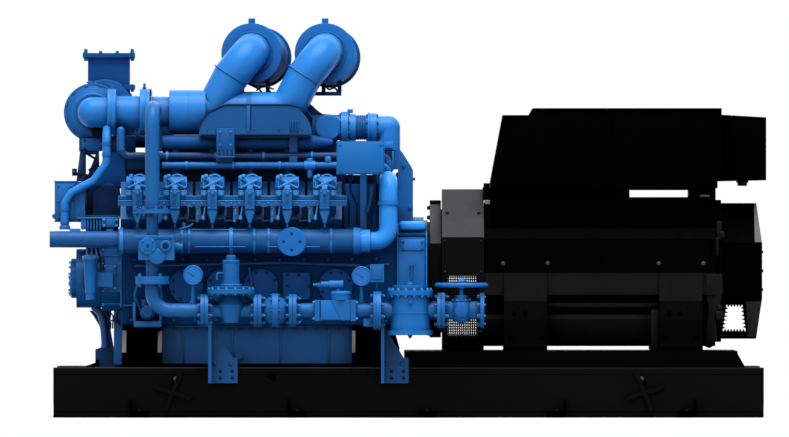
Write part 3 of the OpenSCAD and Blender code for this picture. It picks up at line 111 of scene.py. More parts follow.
def mix_colour(tree, kind, amount, below, above):
    made = add_node(tree, "Mix", {"data_type": "RGBA", "blend_type": kind})
    for value, socket in zip((amount, below, above), (0, 6, 7)):
        connect(tree, value, made.inputs[socket])
    return made.outputs[2]


def background_ray(tree):
    """1 where a ray looks at the background itself, 0 where light only bounces."""
    path = add_node(tree, "LightPath").outputs
    seen = calculate(tree, "MAXIMUM", path["Is Camera Ray"], path["Is Glossy Ray"])
    return calculate(tree, "MAXIMUM", seen, path["Is Transmission Ray"])


# %% Sky and lamps
sky_strength = 0.42

world = bpy.data.worlds.new("studio")
world.use_nodes = True
bpy.context.scene.world = world
bpy.context.scene.view_settings.view_transform = "Standard"
sky = world.node_tree
sky_light = sky.nodes["Background"]
sky_light.inputs["Color"].default_value = (1, 1, 1, 1)
sky.links.new(
    calculate(sky, "MAXIMUM", background_ray(sky), sky_strength), sky_light.inputs["Strength"])


def lamp(name, azimuth, elevation, spread_angle, strength):
    """A wide sun. Azimuth 0 shines from the near side, and 180 from the far side."""
    light = bpy.data.lights.new(name, "SUN")
    light.energy = strength
    light.angle = math.radians(spread_angle)
    made = bpy.data.objects.new(name, light)
    made.rotation_euler = (math.radians(90 - elevation), 0, math.radians(azimuth))
    bpy.context.scene.collection.objects.link(made)


lamp("overhead", 20, 72, 50, 4.2)
lamp("front", -25, 28, 70, 1.0)
lamp("behind", 165, 30, 70, 0.9)

# %% [markdown]
# ## Floor
# The floor is pale and keeps the set's shadow. Far from the set it turns into plain white light
# for the camera, so no horizon shows from any side. Light that bounces meets a darker floor,
# because a floor as bright as paper would light the underside of every pipe.

# %% Floor
floor_half = 160
shadow_reach = 4.0
fade_width = 5.0

bpy.ops.mesh.primitive_plane_add(size=2 * floor_half)
floor = bpy.context.object
floor.name = "floor"

floor_paint = bpy.data.materials.new("pale_floor")
floor_paint.use_nodes = True
tree = floor_paint.node_tree
shader = tree.nodes["Principled BSDF"]
shader.inputs["Roughness"].default_value = 0.9
shader.inputs["Specular IOR Level"].default_value = 0.0
looked_at = background_ray(tree)
tree.links.new(mix_colour(tree, "MIX", looked_at, (0.22, 0.22, 0.22, 1), (0.9, 0.9, 0.9, 1)),
               shader.inputs["Base Color"])
distance = add_node(tree, "VectorMath", {"operation": "LENGTH"})
tree.links.new(add_node(tree, "TexCoord").outputs["Object"], distance.inputs[0])
far = spread(tree, distance.outputs["Value"], shadow_reach, shadow_reach + fade_width)
white = add_node(tree, "Emission", Color=(1, 1, 1, 1), Strength=1.0)
blend = add_node(tree, "MixShader")
tree.links.new(calculate(tree, "MULTIPLY", far, looked_at), blend.inputs[0])
tree.links.new(shader.outputs[0], blend.inputs[1])
tree.links.new(white.outputs[0], blend.inputs[2])
tree.links.new(blend.outputs[0], tree.nodes["Material Output"].inputs["Surface"])
floor.data.materials.append(floor_paint)
print("floor material nodes:", len(tree.nodes))

# %% [markdown]
# ## Paint
# The engine is sprayed as a whole after it is built, so castings, pipes and bolts share one
# satin blue. What differs is what lies under it: cast iron stays slightly rough, drawn pipe is
# smooth, and pressed covers are smoother still. One function therefore makes every paint. It
# mixes broad cloudy variation, a fine sprayed skin, the grain of a casting, painted shade in the
# deep gaps between parts, and edges that are rounded and slightly brighter, partly where the
# paint thins and partly as a painted highlight. On faces that look up, painted light greys the
# black paints, and bands of painted light or shade can lie between two heights.

# %% One function for every paint
def linear(colour):
    """A screen colour from 0 to 255 as the linear value that a shader takes."""
    return tuple(((c / 255 + 0.055) / 1.055) ** 2.4 if c > 10 else c / 255 / 12.92 for c in colour)


def noise(tree, place, scale, detail):
    return add_node(tree, "TexNoise", Vector=place, Scale=scale, Detail=detail).outputs["Fac"]


def darkened(tree, surface, amount):
    grey = add_node(tree, "CombineColor", Red=amount, Green=amount, Blue=amount).outputs[0]
    return mix_colour(tree, "MULTIPLY", 1.0, surface, grey)


def painted_light_film(tree, place, surface, colour, on_slopes):
    """Painted light: grey on faces that look up, or only on the slopes of a rear end."""
    facing = add_node(tree, "NewGeometry").outputs["Normal"]
    axis = add_node(tree, "SeparateXYZ", Vector=facing).outputs["X" if on_slopes else "Z"]
    film = spread(tree, axis, 0.25, 0.6, kind="SMOOTHSTEP")
    if on_slopes:
        film = calculate(tree, "MULTIPLY", film, calculate(tree, "LESS_THAN", axis, 0.95))
    patch = spread(tree, noise(tree, place, 7.0, 6.0), 0.2, 0.6, 0.75, 1.0)
    return mix_colour(tree, "MIX", calculate(tree, "MULTIPLY", film, patch), surface,
                      (*linear(colour), 1))


def light_and_shade_band(tree, place, surface, low, high, colour):
    """A band of painted light or painted shade between two heights, uneven in places."""
    height = add_node(tree, "SeparateXYZ", Vector=place).outputs["Z"]
    above = spread(tree, height, low, low + 0.004)
    below = spread(tree, height, high, high - 0.004)
    patchy = spread(tree, noise(tree, place, 7.0, 5.0), 0.3, 0.6, 0.8, 1.0)
    amount = calculate(tree, "MULTIPLY", calculate(tree, "MULTIPLY", above, below), patchy)
    return mix_colour(tree, "MIX", amount, surface, (*linear(colour), 1))


usual_slot = {}


def paint(name, slot, colour, rough=0.36, gloss=0.15, cloudy=0.10, grain=0.0, shade=0.75, edge_wear_and_light=0.3,
          painted_light=None, on_slopes=False, belts=()):
    """A paint of a screen colour, and the slot of the pieces that usually wear it."""
    made = bpy.data.materials.new(name)
    usual_slot[made.name] = slot
    made.use_nodes = True
    tree = made.node_tree
    shader = tree.nodes["Principled BSDF"]
    shader.inputs["Specular IOR Level"].default_value = gloss
    place = add_node(tree, "TexCoord").outputs["Object"]

    colour = linear(colour)
    clouds = spread(tree, noise(tree, place, 2.6, 5.0), 0.3, 0.7, 1 - cloudy, 1 + cloudy)
    surface = darkened(tree, (*colour, 1), clouds)

    # Edges are rounded by the bevel's normal and made paler: partly paint worn thin, partly a painted
    # highlight.
    rounded = add_node(tree, "Bevel", {"samples": 4}, Radius=0.004).outputs[0]
    turn = add_node(tree, "VectorMath", {"operation": "DOT_PRODUCT"})
    tree.links.new(rounded, turn.inputs[0])
    tree.links.new(add_node(tree, "NewGeometry").outputs["Normal"], turn.inputs[1])
    edge = spread(tree, turn.outputs["Value"], 0.985, 0.88, 0.0, edge_wear_and_light)
    edge_patch = spread(tree, noise(tree, place, 34.0, 3.0), 0.35, 0.6)
    thinned_and_lit = tuple(min(1.0, c * 2.1 + 0.03) for c in colour)
    surface = mix_colour(tree, "MIX", calculate(tree, "MULTIPLY", edge, edge_patch), surface, (*thinned_and_lit, 1))
    # Painted light: faces that look up turn grey, or only the slopes of a rear end.
    if painted_light:
        surface = painted_light_film(tree, place, surface, painted_light, on_slopes)
    # Bands of painted light or painted shade between two heights.
    for belt in belts:
        surface = light_and_shade_band(tree, place, surface, *belt)

    # Painted shade: the colour darkens where ambient occlusion finds parts close by.
    open_air = add_node(tree, "AmbientOcclusion", {"samples": 6}, Distance=0.16).outputs["AO"]
    surface = darkened(tree, surface, spread(tree, open_air, 0.25, 0.85, 1 - shade, 1.0))
    tree.links.new(surface, shader.inputs["Base Color"])

    satin = spread(tree, noise(tree, place, 11.0, 4.0), 0.3, 0.7, rough - 0.05, rough + 0.07)
    tree.links.new(satin, shader.inputs["Roughness"])

    relief = add_node(tree, "Bump", Strength=0.12, Distance=0.0003,
                      Height=noise(tree, place, 900.0, 1.0), Normal=rounded).outputs[0]
    if grain:
        relief = add_node(tree, "Bump", Strength=grain, Distance=0.0012,
                          Height=noise(tree, place, 210.0, 3.0), Normal=relief).outputs[0]
    tree.links.new(relief, shader.inputs["Normal"])
    return made


# %% [markdown]
# ### The blues
# One blue is painted in lit and shaded copies: what stands out in the light is paler, as painted
# light, and what lies low or between the banks is darker, as painted shade.

# %% The blues
smooth = {"rough": 0.3, "cloudy": 0.06}
pipe_blue = paint("engine_blue_on_pipes", "blue_pipe", (22, 94, 161), **smooth)
# Painted light: a paler copy of the pipe blue for pipes and fittings high in the light.
lit_pipe_blue = paint("engine_blue_painted_lit_pipes", "blue_pipe", (34, 118, 198), **smooth)
# Painted shade: the side pipes carry a darker band between 1.594 m and 1.66 m, under the exhaust
# manifold.
side_blue = paint("engine_blue_on_side_pipes", "blue_pipe", (22, 94, 161), **smooth,
                  belts=[(1.594, 1.66, (10, 52, 98))])
# Painted light: a much paler copy for the risers and the lifting pad that face the overhead light.
sunlit_blue = paint("engine_blue_painted_sunlit", "blue_pipe", (46, 146, 238), rough=0.28, cloudy=0.05)
# Painted highlight: a paler copy, less darkened in gaps, for bolts, rods and small fittings that catch
# the light.
highlight_blue = paint("engine_blue_painted_highlight_fittings", "blue_pipe", (52, 138, 214), rough=0.28,
                    cloudy=0.05, shade=0.4)
cast_blue = paint("engine_blue_on_castings", "blue_cast", (20, 97, 168), rough=0.4, grain=0.35)
cover_blue = paint("engine_blue_on_covers", "blue_cast", (20, 104, 180), rough=0.34, cloudy=0.07)
filter_blue = paint("engine_blue_on_filters", "blue_cast", (19, 102, 176), rough=0.6, gloss=0.03)
# Painted shade: the next copies are darker, for parts that lie low, under others or between the banks.
half_shaded_blue = paint("engine_blue_painted_half_shade", "blue_cast", (17, 80, 142), cloudy=0.08)
shaded_door_blue = paint("engine_blue_painted_shade_doors", "blue_cast", (12, 74, 138), rough=0.42, gloss=0.08,
                  grain=0.2)
# Painted shade: the front's copy carries a darker band between 1.1 m and 1.44 m.
shaded_front_blue = paint("engine_blue_painted_shade_front", "blue_cast", (12, 74, 138), rough=0.45, gloss=0.06,
                   grain=0.2, belts=[(1.1, 1.44, (4, 32, 66))])
shaded_blue = paint("engine_blue_painted_shade_low", "blue_cast", (12, 73, 130), rough=0.42, grain=0.3)
dial_face = paint("dial_face", "blue_cast", (36, 112, 191), rough=0.4, edge_wear_and_light=0.0, shade=0.3)
# Painted shade: darker still for the block, the gaps and the space between the heads. The copy for
# between the heads also serves gaskets and seams, which are dark joints.
shaded_block_blue = paint("engine_blue_painted_shade_block", "blue_dark", (4, 50, 100), rough=0.45, gloss=0.04,
                   grain=0.35, edge_wear_and_light=0.15)
shadow_navy = paint("engine_blue_painted_shadow_gaps", "blue_dark", (3, 22, 46), rough=0.6, gloss=0.03)
shaded_navy = paint("engine_blue_in_shadow", "blue_dark", (10, 50, 98), rough=0.5, gloss=0.05,
                    grain=0.2)
joint_and_shade_blue = paint("engine_blue_joints_and_painted_shade", "blue_dark", (7, 40, 78), rough=0.5, gloss=0.06)
print("blues:", len(usual_slot))

# %% [markdown]
# ### The blacks and greys
# The alternator is a dull black that swallows light, so grey painted light is what shows its form:
# on its slopes, on its lower plates and along the edges of the base.

# %% The blacks and greys
dull = {"rough": 0.5, "gloss": 0.006, "edge_wear_and_light": 0.02, "cloudy": 0.2}
lit_facet_finish = {"rough": 0.5, "gloss": 0.03, "edge_wear_and_light": 0.06}
hardware = {"rough": 0.45, "gloss": 0.15, "cloudy": 0.15, "edge_wear_and_light": 0.2}
base_black = paint("base_black", "base_black", (7, 7, 7), rough=0.5, gloss=0.02, edge_wear_and_light=0.06)
# Painted highlight: a light grey along the top edge of the base's beams.
edge_highlight_grey = paint("edge_highlight_grey", "base_black", (62, 60, 58), rough=0.55, gloss=0.03, cloudy=0.2,
                  edge_wear_and_light=0.1)
# Painted light: grey bands lie on the frame and the feet between the heights given.
frame_black = paint("alternator_black", "alternator_black", (1, 1, 1), **dull,
                    belts=[(0.758, 0.897, (20, 20, 20)), (0.46, 0.64, (36, 36, 36))])
foot_black = paint("alternator_foot_black", "alternator_black", (1, 1, 1), **dull,
                   belts=[(0.72, 0.9, (16, 16, 16))])
subframe_black = paint("subframe_black", "base_black", (1, 1, 1), rough=0.55, gloss=0.01, edge_wear_and_light=0.02,
                       cloudy=0.2)
# Painted light: the guard's and the adapter ring's upward faces turn grey, and on the cowl only the
# slopes at its end do.
facet_black = paint("black_with_painted_light", "alternator_black", (8, 8, 8), **lit_facet_finish, painted_light=(60, 60, 61))
adapter_black = paint("adapter_black_with_painted_light", "alternator_black", (8, 8, 8), **lit_facet_finish, painted_light=(74, 74, 75))
cowl_black = paint("end_cowl_black", "alternator_black", (0, 0, 0), rough=0.5, gloss=0.005, edge_wear_and_light=0.03,
                   painted_light=(54, 54, 55), on_slopes=True)
# Painted light: these greys stand for light on the frame's bar, post and end bracket, and on the cowl's
# corner slopes.
painted_light_grey = paint("black_painted_light_grey", "alternator_black", (18, 18, 18), rough=0.55, gloss=0.03,
                   edge_wear_and_light=0.05)
under_grey = paint("painted_light_under_slopes", "alternator_black", (64, 64, 64), rough=0.6, gloss=0.01,
                   cloudy=0.12, edge_wear_and_light=0.03)
slope_grey = paint("painted_light_on_the_cowl", "alternator_black", (92, 92, 93), rough=0.6, gloss=0.02,
                   cloudy=0.08, edge_wear_and_light=0.03)
box_black = paint("terminal_box_black", "terminal_black", (1, 1, 1), rough=0.55, gloss=0.003, edge_wear_and_light=0.02,
                  cloudy=0.2)
mount_black = paint("mount_black", "mount_black", (12, 13, 15), rough=0.45, gloss=0.05, edge_wear_and_light=0.15)
# Painted light: a light grey for the sloped edges of the mount plates.
mount_highlight_grey = paint("mount_painted_light_grey", "mount_black", (105, 100, 100), rough=0.6, gloss=0.03,
                         cloudy=0.15)
bolt_grey = paint("bolt_grey", "mount_black", (105, 105, 105), **{**hardware, "gloss": 0.2})
stud_grey = paint("stud_grey", "mount_black", (60, 60, 60), **hardware)
print("paints in all:", len(usual_slot))

# %% [markdown]
# ### Paint on the CAD parts
# Each CAD part keeps its shape and gets the paint of what it is: a casting, a pipe, a pressed
# cover, or one of the blacks. Parts high in the light get a paler copy of the blue and parts low or
# between others a darker one, as painted light and shade.

# %% Paint on the CAD parts
finishes = {
    cast_blue: ["gear_cover", "coolant_pump", "cylinder_heads", "front_cabinet", "flywheel_housing",
                "thermostat_housing", "turbocharger", "rear_cover", "check_valve", "solenoid_valve",
                "shutoff_valve", "pressure_regulator", "gas_mixer"],
    shaded_block_blue: ["crankcase"],
    half_shaded_blue: ["coolant_manifolds", "manifold_shields", "gas_train_brackets", "turbo_bracket"],
    shaded_door_blue: ["crankcase_doors", "oil_cooler", "exhaust_outlet", "exhaust_manifold"],
    shaded_front_blue: ["front_covers"],
    side_blue: ["side_pipes"],
    sunlit_blue: ["coolant_risers"],
    pipe_blue: ["gas_riser", "gas_supply_pipe", "ignition_rails"],
    lit_pipe_blue: ["intake_ducts", "charge_pipe", "turbo_inlet_pipe"],
    cover_blue: ["rocker_covers", "gas_filter", "oil_centrifuge", "control_box", "valve_handwheel",
                 "gas_gauges"],
    filter_blue: ["air_filters"],
    shaded_blue: ["oil_pan", "front_support"],
    joint_and_shade_blue: ["mixture_manifold", "mixture_cooler", "filter_support"],
    shaded_navy: ["exhaust_crossover"],
    base_black: ["base_rails", "base_crossmembers", "base_deck", "lifting_lugs"],
    subframe_black: ["alternator_subframe"],
    facet_black: ["drive_end_barrel"],
    adapter_black: ["adapter_ring"],
    frame_black: ["alternator_frame"],
    foot_black: ["alternator_feet"],
    cowl_black: ["end_cowl"],
    box_black: ["terminal_pedestal", "terminal_box", "cable_outlet_box", "hold_down_cleats",
                "engine_mounts"],
}


def give_paint(part, finish):
    part.data.materials.clear()
    part.data.materials.append(finish)


for finish, parts in finishes.items():
    for part in parts:
        give_paint(nodes[part], finish)
unpainted = set(nodes) - {part for parts in finishes.values() for part in parts}
print("CAD parts without paint:", sorted(unpainted))

# %% [markdown]
# ## Tools for modelling
# Most added pieces start from a primitive, as by hand: it is added, extruded, resized or bevelled.
# A plate starts from its outline, and a tube from a curve. These helpers keep that short. An
# operator acts on whatever is selected, so each helper first clears the selection. Where a place
# is worked out from the box of a CAD part, the piece stays on that part when the part changes.
# The other places are plain measures in metres, and they would have to be moved by hand.

# %% Selecting
def only(*things):
    bpy.ops.object.select_all(action="DESELECT")
    for thing in things:
        thing.select_set(True)
    bpy.context.view_layer.objects.active = things[0]


@contextmanager
def editing(thing, kind="FACE"):
    """Edit mode with everything selected."""
    only(thing)
    bpy.ops.object.mode_set(mode="EDIT")
    bpy.ops.mesh.select_mode(type=kind)
    bpy.ops.mesh.select_all(action="SELECT")
    yield
    bpy.ops.object.mode_set(mode="OBJECT")


def placed(thing, place):
    """Moves the mesh of a thing, so that the object itself stays at the origin."""
    thing.data.transform(place)
    return thing


# %% [markdown]
# ### Places
# A place is a matrix. A thing is drawn upright along Z, and its place turns it and carries it
# to where it sits, as a hand would turn a bolt to face its hole.

# %% Directions and places
TO_X = Matrix.Rotation(math.radians(90), 4, "Y")
TO_NEAR = Matrix.Rotation(math.radians(90), 4, "X")
TO_FAR = Matrix.Rotation(math.radians(-90), 4, "X")
UPSIDE_DOWN = Matrix.Rotation(math.radians(180), 4, "X")
TO_FRONT = TO_X @ UPSIDE_DOWN
UP = Matrix.Identity(4)
MIRROR = Matrix.Scale(-1, 4, (0, 1, 0))


def moved(x, y, z):
    return Matrix.Translation((x, y, z))


def at(x, y, z, turn=UP):
    """A place: a thing drawn along Z is turned first and then put at this point."""
    return moved(x, y, z) @ turn


def near(x, y, z):
    """A place on the near side: the thing stands out towards the viewer."""
    return at(x, y, z, TO_NEAR)


def along(x, y, z):
    """A place whose thing lies along the engine, towards the alternator."""
    return at(x, y, z, TO_X)


def leaning(degrees, axis):
    return Matrix.Rotation(math.radians(degrees), 4, axis)


def ring(centre, radius, count, turn, first=0.0):
    """Places evenly round a circle, whose axis is where turn sends Z."""
    return [moved(*centre) @ turn @ leaning(first + 360 * i / count, "Z") @ moved(radius, 0, 0)
            for i in range(count)]


def ring_pair(centre, half, radius, count, turn, first=0.0):
    """Rings on both faces of a joint, each half its thickness from the middle, facing outwards."""
    step = turn @ Vector((0, 0, half))
    return (ring(Vector(centre) + step, radius, count, turn, first)
            + ring(Vector(centre) - step, radius, count, turn @ UPSIDE_DOWN, first))


def both_banks(places):
    """The same places again on the other side of the engine."""
    return places + [MIRROR @ place for place in places]


def evenly(start, end, count):
    return [start + (end - start) * i / (count - 1) for i in range(count)]


# %% [markdown]
# ### Forms
# Nearly everything bolted to an engine is a block, a turned part, a bent tube or a cut plate.
# A turned part is grown from a disc, ring by ring, as a lathe would leave it. A tube is a curve
# with its corners rounded, because a pipe bender gives every corner the same radius.

# %% Blocks and turned parts
def slab(low, high, edge=0.0, segments=2):
    """A block between two corners, with its edges rounded."""
    low, high = Vector(low), Vector(high)
    size = high - low
    bpy.ops.mesh.primitive_cube_add(size=1)
    made = placed(bpy.context.object, moved(*((low + high) / 2)) @ Matrix.Diagonal((*size, 1)))
    if edge:
        with editing(made, "EDGE"):
            bpy.ops.mesh.bevel(offset=min(edge, min(size) * 0.45), segments=segments, affect="EDGES")
    return made


def turned(steps, sides=24, place=UP):
    """A turned part along Z: a disc whose cap is extruded and resized at each (height, radius)."""
    (height, radius), *rest = steps
    bpy.ops.mesh.primitive_circle_add(vertices=sides, radius=radius, fill_type="NGON",
                                      location=(0, 0, height))
    made = bpy.context.object
    bpy.ops.object.transform_apply()
    with editing(made):
        for next_height, next_radius in rest:
            bpy.ops.mesh.extrude_region_move(
                TRANSFORM_OT_translate={"value": (0, 0, next_height - height)})
            bpy.ops.transform.resize(value=(next_radius / radius, next_radius / radius, 1))
            height, radius = next_height, next_radius
        bpy.ops.mesh.select_all(action="SELECT")
        bpy.ops.mesh.normals_make_consistent(inside=False)
    return placed(made, place)


def band(place, inner, outer, start, end, sides=40):
    """A band round a pipe, between two places along it."""
    return turned([(start, inner), (start, outer), (end, outer), (end, inner)], sides, place)


# %% Tubes and plates
def tube(points, radius, bend=0.03, sides=3):
    """A bent tube: a curve through the points, with each corner rounded to the bend radius."""
    points = [Vector(p) for p in points]
    knots = [(points[0], Vector(), Vector())]
    for before, corner, after in zip(points, points[1:], points[2:]):
        into, out = (corner - before).normalized(), (after - corner).normalized()
        angle = into.angle(out)
        reach = bend * math.tan(angle / 2)
        handle = bend * 4 / 3 * math.tan(angle / 4)
        knots.append((corner - into * reach, Vector(), into * handle))
        knots.append((corner + out * reach, -out * handle, Vector()))
    knots.append((points[-1], Vector(), Vector()))
    line = bpy.data.curves.new("tube", "CURVE")
    line.dimensions = "3D"
    line.bevel_depth = radius
    line.bevel_resolution = sides
    line.resolution_u = 6
    line.use_fill_caps = True
    spline = line.splines.new("BEZIER")
    spline.bezier_points.add(len(knots) - 1)
    for knot, (place, left, right) in zip(spline.bezier_points, knots):
        knot.co = place
        knot.handle_left_type = knot.handle_right_type = "FREE"
        knot.handle_left = place + left
        knot.handle_right = place + right
    made = bpy.data.objects.new("tube", line)
    bpy.context.scene.collection.objects.link(made)
    only(made)
    bpy.ops.object.convert(target="MESH")
    return bpy.context.object


def plate(outline, depth, place=UP):
    """A flat shape of (x, y) corners, extruded along Z by its depth."""
    face = bpy.data.meshes.new("plate")
    face.from_pydata([(x, y, 0) for x, y in outline], [], [list(range(len(outline)))])
    made = bpy.data.objects.new("plate", face)
    bpy.context.scene.collection.objects.link(made)
    with editing(made):
        bpy.ops.mesh.extrude_region_move(TRANSFORM_OT_translate={"value": (0, 0, depth)})
        bpy.ops.mesh.select_all(action="SELECT")
        bpy.ops.mesh.normals_make_consistent(inside=False)
    return placed(made, place)


def soften(thing, width, segments=2):
    """Rounds the sharp edges with an applied Bevel modifier."""
    only(thing)
    rounding = thing.modifiers.new("edges", "BEVEL")
    rounding.width = width
    rounding.segments = segments
    rounding.limit_method = "ANGLE"
    rounding.angle_limit = math.radians(40)
    bpy.ops.object.modifier_apply(modifier=rounding.name)
    return thing


# %% [markdown]
# ### Copies and finished pieces
# The two banks are mirror images, so what sits on one is made once and copied to the other. A
# mirrored copy turns inside out, and its faces are flipped back. A finished piece is one mesh
# with a name and a paint, and it rides on its body.

# %% Copying
def joined(things):
    if len(things) > 1:
        only(*things)
        bpy.ops.object.join()
    return things[0]


def copies(master, places):
    """One mesh that holds a copy of the master at each place."""
    pile = bmesh.new()
    for place in places:
        copy = master.data.copy()
        copy.transform(place)
        if place.determinant() < 0:
            copy.flip_normals()
        pile.from_mesh(copy)
        bpy.data.meshes.remove(copy)
    made = bpy.data.objects.new("copies", bpy.data.meshes.new("copies"))
    pile.to_mesh(made.data)
    pile.free()
    bpy.context.scene.collection.objects.link(made)
    return made


def scattered(master, places):
    """The copies alone: the master is used up."""
    made = copies(master, places)
    bpy.data.objects.remove(master)
    return made


# %% Finishing a piece
pieces = []


def fit(things, name, finish, slot=None, body="set", places=None):
    """Joins things into one piece, copies it to its places, and names, paints and fits it."""
    thing = joined(things) if isinstance(things, list) else things
    if places:
        thing = scattered(thing, places)
    thing.name = thing.data.name = name
    give_paint(thing, finish)
    only(thing)
    bpy.ops.object.shade_smooth_by_angle(angle=math.radians(35))
    slot = slot or usual_slot[finish.name]
    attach(thing, body)
    pieces.append(thing)
    print("made", name, "with", len(thing.data.polygons), "faces")


def fit_pair(things, name, finish, slot=None):
    """A piece and its mirror image on the other side of the engine, as one mesh."""
    fit(things, name, finish, slot, places=[UP, MIRROR])


# %% [markdown]
# ### Bolts
# Hundreds of bolts hold the set together, and all have the same form: a washer and a six-sided
# head with a chamfered top. One is modelled at a size of one metre across its flats, and each
# group of bolts is a copy of it at its own size. It has few faces, because there are so many.

# %% One bolt
bolt = joined([turned([(0.12, 0.55), (0.72, 0.55), (0.84, 0.44)], sides=6),
               turned([(-0.4, 0.72), (0.1, 0.72), (0.15, 0.66)], sides=12)])
bolt.name = "bolt_master"


def bolts(places, size, name, finish, slot=None):
    """A group of bolts of one size, each with its washer on the surface at its place."""
    grown = Matrix.Diagonal((size, size, size, 1))
    fit(copies(bolt, [place @ grown for place in places]), name, finish, slot)


print("faces of one bolt:", len(bolt.data.polygons))


# %% [markdown]
# ## Gas train
# The gas train is a row of fittings bolted flange to flange. Its axis, its flanges and its valves
# come from CAD. What makes it look real is the bolting: two flanges share one ring of bolts, with
# a nut on each side. The bolt rings are therefore placed by the flange joints of the CAD train.

# %% Where the flange joints are
train_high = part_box("gas_supply_pipe")[1]
filter_low, filter_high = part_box("gas_filter")
valve_low, valve_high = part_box("shutoff_valve")
regulator_low, regulator_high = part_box("pressure_regulator")
check_low, check_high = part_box("check_valve")
flange = 0.024
train_y = (filter_low.y + filter_high.y) / 2
train_z = regulator_low.z + 0.1
small_circle, large_circle = 0.08, 0.091
joints = [(train_high.x, small_circle), (check_low.x, small_circle), (check_high.x, small_circle),
          (filter_low.x, 0.098), (valve_low.x, large_circle)]
print("train axis:", round(train_y, 3), round(train_z, 3), "joints:",
      [round(x, 3) for x, _ in joints])

# %% Bolts through the flanges
train_bolts, bolt_ends, gaskets = [], [], []
for x, circle in joints:
    train_bolts += ring_pair((x, train_y, train_z), flange, circle, 8, TO_X, 22.5)
    bolt_ends += ring((x + flange + 0.011, train_y, train_z), circle, 8, TO_X, 22.5)
    gaskets.append(band(along(x, train_y, train_z), 0.06, circle + 0.0205, -0.0015, 0.0015))
bolts(train_bolts, 0.022, "gas_flange_bolts", pipe_blue)
fit(gaskets, "gas_gaskets", joint_and_shade_blue)

# %% [markdown]
# The threaded ends of the bolts stand out of their nuts and catch more light, so they carry a
# paler blue as a painted highlight. Each one is a short turned stud with a chamfered tip.

# %% Studs
stud = turned([(0, 0.007), (0.011, 0.007), (0.014, 0.005)], sides=10)
stud_places = bolt_ends + ring((valve_high.x - 0.004, train_y, train_z), 0.09, 8, TO_X, 22.5)
fit(stud, "gas_flange_studs", highlight_blue, places=stud_places)

# %% [markdown]
# At the far end the inlet flange waits for the site's pipe. Its bolts are already in place,
# pushed through from behind with their heads on the engine's side.

# %% Bolts of the open inlet flange
bolts(ring((valve_high.x - flange, train_y, train_z), 0.09, 8, TO_FRONT, 22.5), 0.026,
      "gas_inlet_bolts", pipe_blue)

# %% [markdown]
# ### Flanges of the upright pipe
# The mixer stands between two horizontal flange pairs. The lower one is square-bolted and the
# upper one has eight bolts.

# %% Bolts of the upright pipe
riser_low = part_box("gas_riser")[0]
mixer_low, mixer_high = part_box("gas_mixer")
riser_x = (mixer_low.x + mixer_high.x) / 2 - 0.0255
upright = ring_pair((riser_x, train_y, riser_low.z), 0.013, 0.096, 8, UP, 22.5)
upright += ring_pair((riser_x, train_y, mixer_low.z), flange, 0.088, 4, UP, 45)
bolts(upright, 0.022, "upright_flange_bolts", pipe_blue)

# %% [markdown]
# ### Mixer body
# The gas mixer is a cast box. Its near face carries a round adjusting boss with a cap, a smaller
# port beside it, and a row of cover bolts along the top.

# %% Mixer details
body_top = mixer_low.z + 0.125 + 0.155
face_y = train_y - 0.085
dial_x, port_x, boss_z = riser_x - 0.012, riser_x + 0.096, body_top - 0.068
cap = turned([(-0.004, 0.055), (0.008, 0.055), (0.013, 0.05), (0.013, 0.03), (0.017, 0.026),
              (0.017, 0.011)], 32, near(dial_x, face_y, boss_z))
port = turned([(-0.004, 0.036), (0.012, 0.036), (0.016, 0.031), (0.016, 0.02)], 28,
              near(port_x, face_y, boss_z))
side = turned([(0, 0.03), (0.03, 0.03), (0.03, 0.022), (0.05, 0.02)], 20,
              along(mixer_high.x, train_y, body_top - 0.075))
rim = slab((mixer_low.x + 0.01, face_y - 0.005, body_top - 0.026),
           (mixer_high.x - 0.004, face_y + 0.004, body_top - 0.002), 0.004)
chin = turned([(-0.004, 0.05), (0.006, 0.05), (0.009, 0.045), (0.009, 0.02)], 28,
              near(riser_x + 0.045, face_y, body_top - 0.132))
fit([cap, port, side, rim, chin], "mixer_caps", cast_blue)
# Painted shade: dark discs fill the openings of the cap and the port.
fit([turned([(0.0155, radius), (0.0178, radius)], 16, near(x, face_y, boss_z))
     for x, radius in ((dial_x, 0.0105), (port_x, 0.0195))],
    "mixer_port_shades", joint_and_shade_blue)
mixer_bolts = ring((dial_x, face_y - 0.012, boss_z), 0.042, 4, TO_NEAR, 45)
mixer_bolts += [near(x, face_y - 0.004, body_top - 0.014)
                for x in evenly(mixer_low.x + 0.03, mixer_high.x - 0.025, 4)]
bolts(mixer_bolts, 0.01, "mixer_bolts", cover_blue)

# %% [markdown]
# ### Pressure regulator
# The regulator's diaphragm is clamped between two dished covers by a ring of bolts. Above it a
# spring can carries an adjusting cap, and below it a funnel leads to the valve body.

# %% Regulator details
reg_x = (regulator_low.x + regulator_high.x) / 2
cover_z = train_z + 0.132
bolts(ring_pair((reg_x, train_y, cover_z - 0.014), 0.014, 0.137, 16, UP, 11.25), 0.013,
      "regulator_bolts", highlight_blue)
dish = turned([(0.098, 0.052), (0.104, 0.145), (0.106, 0.146)], 48,
              at(reg_x, train_y, train_z - 0.002))
funnel = turned([(-0.076, 0.05), (0.0, 0.08), (0.035, 0.086), (0.06, 0.07), (0.104, 0.06)], 32,
                at(reg_x, train_y, train_z))
can_foot = turned([(0.148, 0.07), (0.158, 0.07), (0.166, 0.056), (0.19, 0.0545)], 32,
                  at(reg_x, train_y, train_z))
can_top = turned([(0.296, 0.0535), (0.309, 0.0535), (0.313, 0.046), (0.313, 0.03)], 32,
                 at(reg_x, train_y, train_z))
grips = [turned([(0.313, 0.0305), (0.338, 0.0305), (0.343, 0.024), (0.343, 0.008)], 12,
                at(reg_x, train_y, train_z))]
vent = tube([(reg_x - 0.05, train_y, train_z + 0.23), (reg_x - 0.085, train_y, train_z + 0.23),
             (reg_x - 0.085, train_y, train_z + 0.19)], 0.009, 0.012)
fit([dish, funnel, can_foot, can_top, vent] + grips, "regulator_details", cast_blue)

